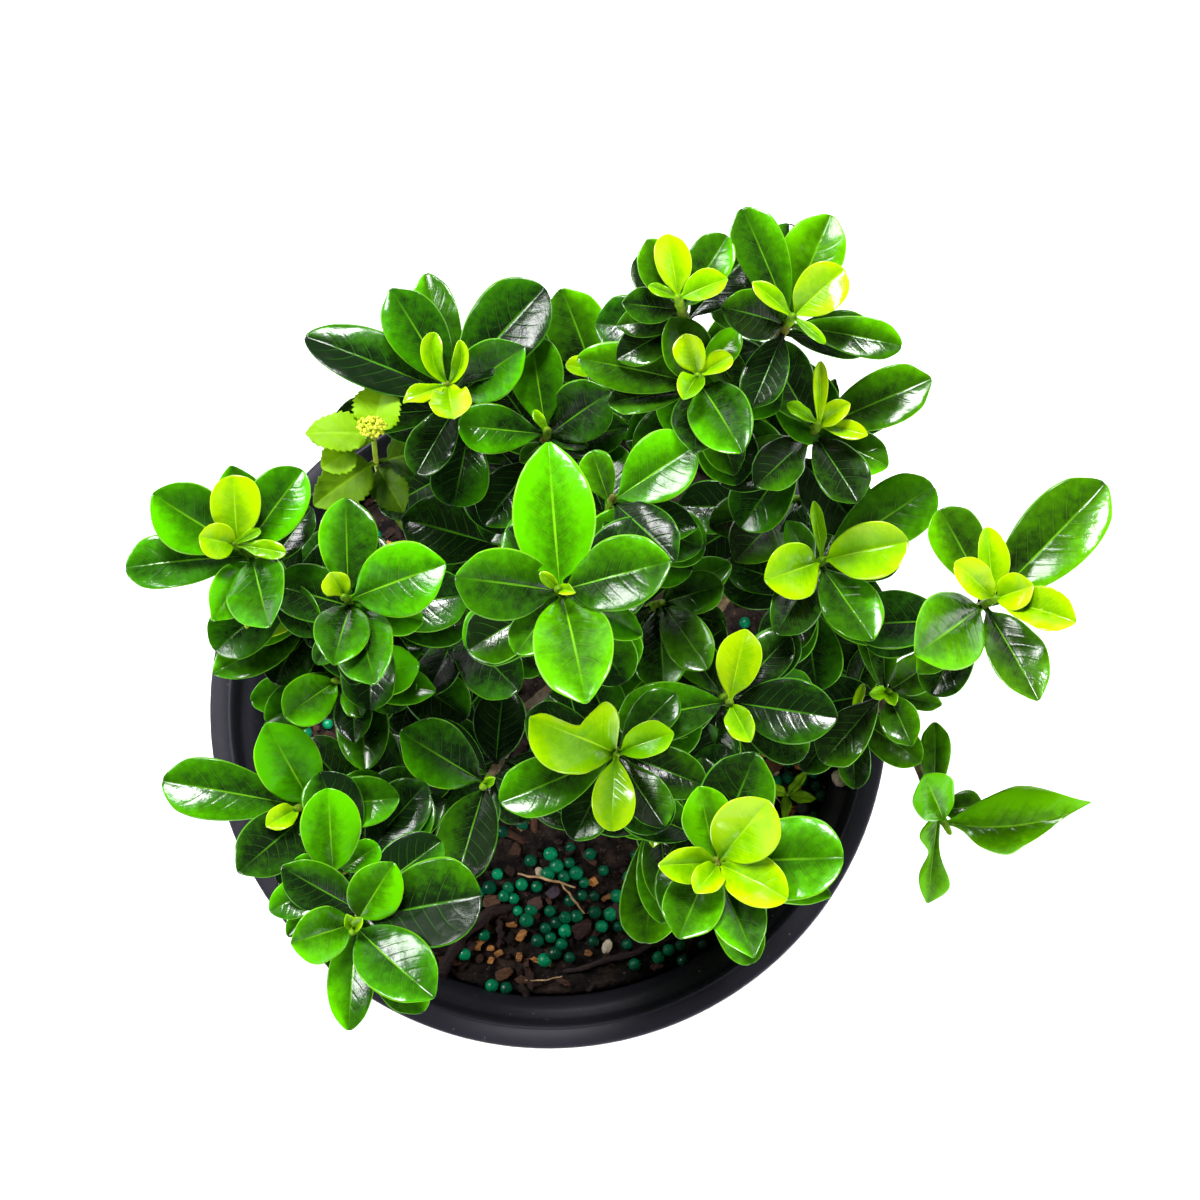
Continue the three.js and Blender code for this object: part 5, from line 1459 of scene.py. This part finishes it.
def dress(shoot, number):
    """Makes the pieces of a shoot, two where it has new growth, and counts its placed and its missing leaves.
    """
    name, stem = shoot["name"], stem_of(shoot)
    corners = corners_of(name)
    young_corners = corners_of(name + "_young") if shoot["young"] else None
    grown, new = Draft(), Draft()
    rows = rows_of(shoot, number)
    add_stem(grown, stem, 1 + max(level for _, level, _, _ in rows), number)
    missing = 0
    for k, (row, level, order, youth) in enumerate(rows):
        own = number * NUMBERS_EACH + k
        leaf = place_leaf(row, level, order, youth, stem, own, young_corners if youth else corners)
        if leaf is None:
            missing += 1
            continue
        leaf.update(variety(own, youth))
        leaf["fresh"] = row[4] + AGE_SPREAD * (draw(own + 0.9) - 0.5)
        yellower = YOUNG_LIME if youth else leaf["root"][0] / LIME_REACH
        leaf["lime"] = LIME_SPREAD * draw(own + 0.8) + yellower
        leaf.update(SPECIAL.get((name, "young" if youth else "leaf", order), {}))
        add_leaf(new if youth else grown, leaf)
    for leaf in shaded_leaves(number, stem):
        add_leaf(grown, leaf)
    base = stem["centres"][-1]
    if shoot["young"]:
        add_bud(new, base + stem["heading"] * GAP, stem["heading"], BUD_LENGTH, YOUNG_RADIUS)
        new.piece(name + "_new_leaves", [new_leaf, green_stem], "young_leaf", [name + "_young"])
    else:
        sunk = base - stem["heading"] * BARE_BUD_SUNK
        add_bud(grown, sunk, stem["heading"], BARE_BUD_LENGTH, YOUNG_RADIUS * 0.8)
    grown.piece(name + "_leaves", [old_leaf, green_stem], "leaf", [name])
    return len(rows) - missing, missing


placed = [dress(shoot, number) for number, shoot in enumerate(SHOOTS)]
print("leaves:", sum(a for a, _ in placed), "left out:", sum(b for _, b in placed))

# %% [markdown]
# ## The trunk and its branches
# With the length of each shoot known, all the wood can be made as one piece: the trunk, the limbs, and
# the bare part of each shoot up to where its green stem begins.

# %% Wood
WOOD_OVERLAP = 0.2  # mm that the bark runs on under the green stem


def make_wood():
    draft = Draft()
    foot, top = np.array(TRUNK["foot"], float), np.array(TRUNK["top"], float)
    trunk = Curve(lambda t: foot + (top - foot) * t)
    bark_tube(draft, trunk, TRUNK["radius"], TRUNK["taper"], TRUNK_RIDGES, 1)
    for k, (name, (radius, _)) in enumerate(LIMBS.items()):
        bark_tube(draft, limb_curves[name], radius, LIMB_TAPER, LIMB_RIDGES, 3 + k)
    for k, shoot in enumerate(SHOOTS):
        stem = stem_of(shoot)
        end = stem["axis"].length - stem["leafy"] + WOOD_OVERLAP
        bark_tube(draft, stem["axis"], WOODY_RADIUS, LEAFY_RADIUS / WOODY_RADIUS, SHOOT_RIDGES, 20 + k, end)
    return draft.piece("trunk_and_limbs", [bark_finish()], "bark", ["woody_stems"])


wood = make_wood()
print("wood faces:", len(wood.data.polygons))

# %% [markdown]
# ## Two wild plants
# A weed with toothed, pale leaves and a head of tiny yellow florets has grown up on the left, and a pale
# seedling stands in the gap on the right.

# %% Their sizes and finishes
# Each leaf: direction, length, rise, width, how far below the top, how light, and the stalk's share of it.
# The lower weed leaves, in the shrub's shade, are given darker tones: painted shade.
WEED = {"stem": [(-45, 55, 156), (-46, 57, 205), (-44, 59, 258), (-41, 63, 306)], "radius": 0.9,
        "leaves": [(75, 13, 8, 11, 6, 1.0, 0.1), (180, 17, 8, 9, 7, 0.9, 0.1), (212, 15, 4, 8, 11, 0.9, 0.38),
                   (215, 20, 6, 11, 36, 0.4, 0.1), (12, 18, 10, 10, 38, 0.1, 0.2),
                   (-60, 15, 8, 9, 40, 0.3, 0.1)]}
SEEDLING = {"stem": [(70, -26, 156), (70, -26, 166), (71, -26, 174)], "radius": 0.8,
            "leaves": [(50, 10, 20, 3, 0.5, 0.5, 0.1), (-10, 9, 16, 4, 0.9, 0.4, 0.1),
                       (160, 9, 26, 3.5, 1.3, 0.6, 0.1), (-100, 8, 20, 3.5, 1.7, 0.4, 0.1)]}
WILD_NUMBER = 2000  # where their leaves' numbers begin
WILD_BLADE = {"base": 0.5, "tip": 0.72, "fold": 8, "wave": 0.5, "lime": 0.5}
WILD_SIDES, WILD_RING, WILD_TAPER = 9, 1.2, 0.7
FLORETS, FLORET_SIZE, FLORET_ROUGH = 46, (0.5, 0.5, 0.9), 0.35
HEAD_SPREAD, HEAD_OVAL, NEXT_FLORET = 0.38, 1.4, 2.4  # the last is the turn from floret to floret, in radians


def wild_finish():
    finish = Finish("weed_leaf")
    across, along = finish.on_blade()
    mottle = finish.noise(240, detail=5)
    ridge = abs(((along - across * 0.3) * 6).math("FRACT") - 0.5)
    veins = (ridge.between(0.42, 0.5) * 0.3).math("MAXIMUM", across.between(0.1, 0.02))
    light = finish.attribute("fresh") + (mottle - 0.5) * 0.7
    colour = finish.blend(light, (0.012, 0.045, 0.0), (0.17, 0.36, 0.0))
    colour = finish.blend(veins * 0.3, colour, (0.25, 0.45, 0.01))
    normal = finish.bump(ridge * 0.5 + mottle * 0.6, 0.4, 0.0005)
    return finish.shaded(colour, mottle * 0.2 + 0.45, normal, Specular_IOR_Level=0.15)


def wild_stem_finish():
    finish = Finish("weed_stem")
    tint = finish.noise(130, detail=4)
    colour = finish.blend(tint.between(0.35, 0.65), (0.3, 0.5, 0.02), (0.5, 0.56, 0.05))
    low = finish.height().between(0.27, 0.2)  # metres: painted shade, the foot is painted darker and greener where it stands in shade
    colour = finish.blend(low * 0.8, colour, (0.06, 0.15, 0.01))
    return finish.shaded(colour, tint * 0.2 + 0.4, finish.bump(tint, 0.4, 0.0003))


def floret_finish():
    finish = Finish("floret")
    tint = finish.noise(700, detail=4)
    colour = finish.blend(tint.between(0.35, 0.65), (0.4, 0.5, 0.01), (0.75, 0.78, 0.06))
    return finish.shaded(colour, tint * 0.2 + 0.5, finish.bump(tint, 0.8, 0.0003))


wild_finishes = [wild_finish(), wild_stem_finish()]
print("finishes:", [finish.name for finish in wild_finishes])


# %% Weed, seedling and florets
def make_wild(name, plant, node, teeth, spread):
    """Its teeth are how many a leaf has and how deep they cut; its leaves are `spread` times as wide."""
    draft = Draft()
    axis = through(plant["stem"])
    steps = int(axis.length / WILD_RING)
    radii = np.linspace(plant["radius"], plant["radius"] * WILD_TAPER, steps + 1)
    draft.add(*swept(axis.spaced(steps), radii, WILD_SIDES), 1)
    for k, (azimuth, length, lift, width, below, tone, stalk) in enumerate(plant["leaves"]):
        number = WILD_NUMBER + k
        leaf = {"root": axis.at(axis.length - below), "azimuth": azimuth, "length": length, "lift": lift,
                "width": width * spread, "fresh": tone, "stalk": stalk, "teeth": teeth}
        add_leaf(draft, {**leaf, **character(number), **variety(number, True), **WILD_BLADE})
    return draft.piece(name, wild_finishes, "weed_leaf", [node])


def make_florets():
    draft = Draft()
    top = np.array(WEED["stem"][-1], float) + (0, 0, 2.0)
    for k in range(FLORETS):
        out, angle = HEAD_SPREAD * math.sqrt(k), NEXT_FLORET * k
        up = 0.6 * (k % 3) - 0.04 * k
        centre = top + (HEAD_OVAL * out * math.cos(angle), out * math.sin(angle), up)
        lump(draft, centre, np.array(FLORET_SIZE), 60 + k, FLORET_ROUGH)
    return draft.piece("weed_florets", [floret_finish()], "floret", ["weed_flowers"])


make_wild("weed_plant", WEED, "weed", teeth=(11, 0.13), spread=1.25)
make_wild("seedling_plant", SEEDLING, "seedling", teeth=(6, 0.05), spread=1.0)
florets = make_florets()
print("florets:", FLORETS, "faces:", len(florets.data.polygons))
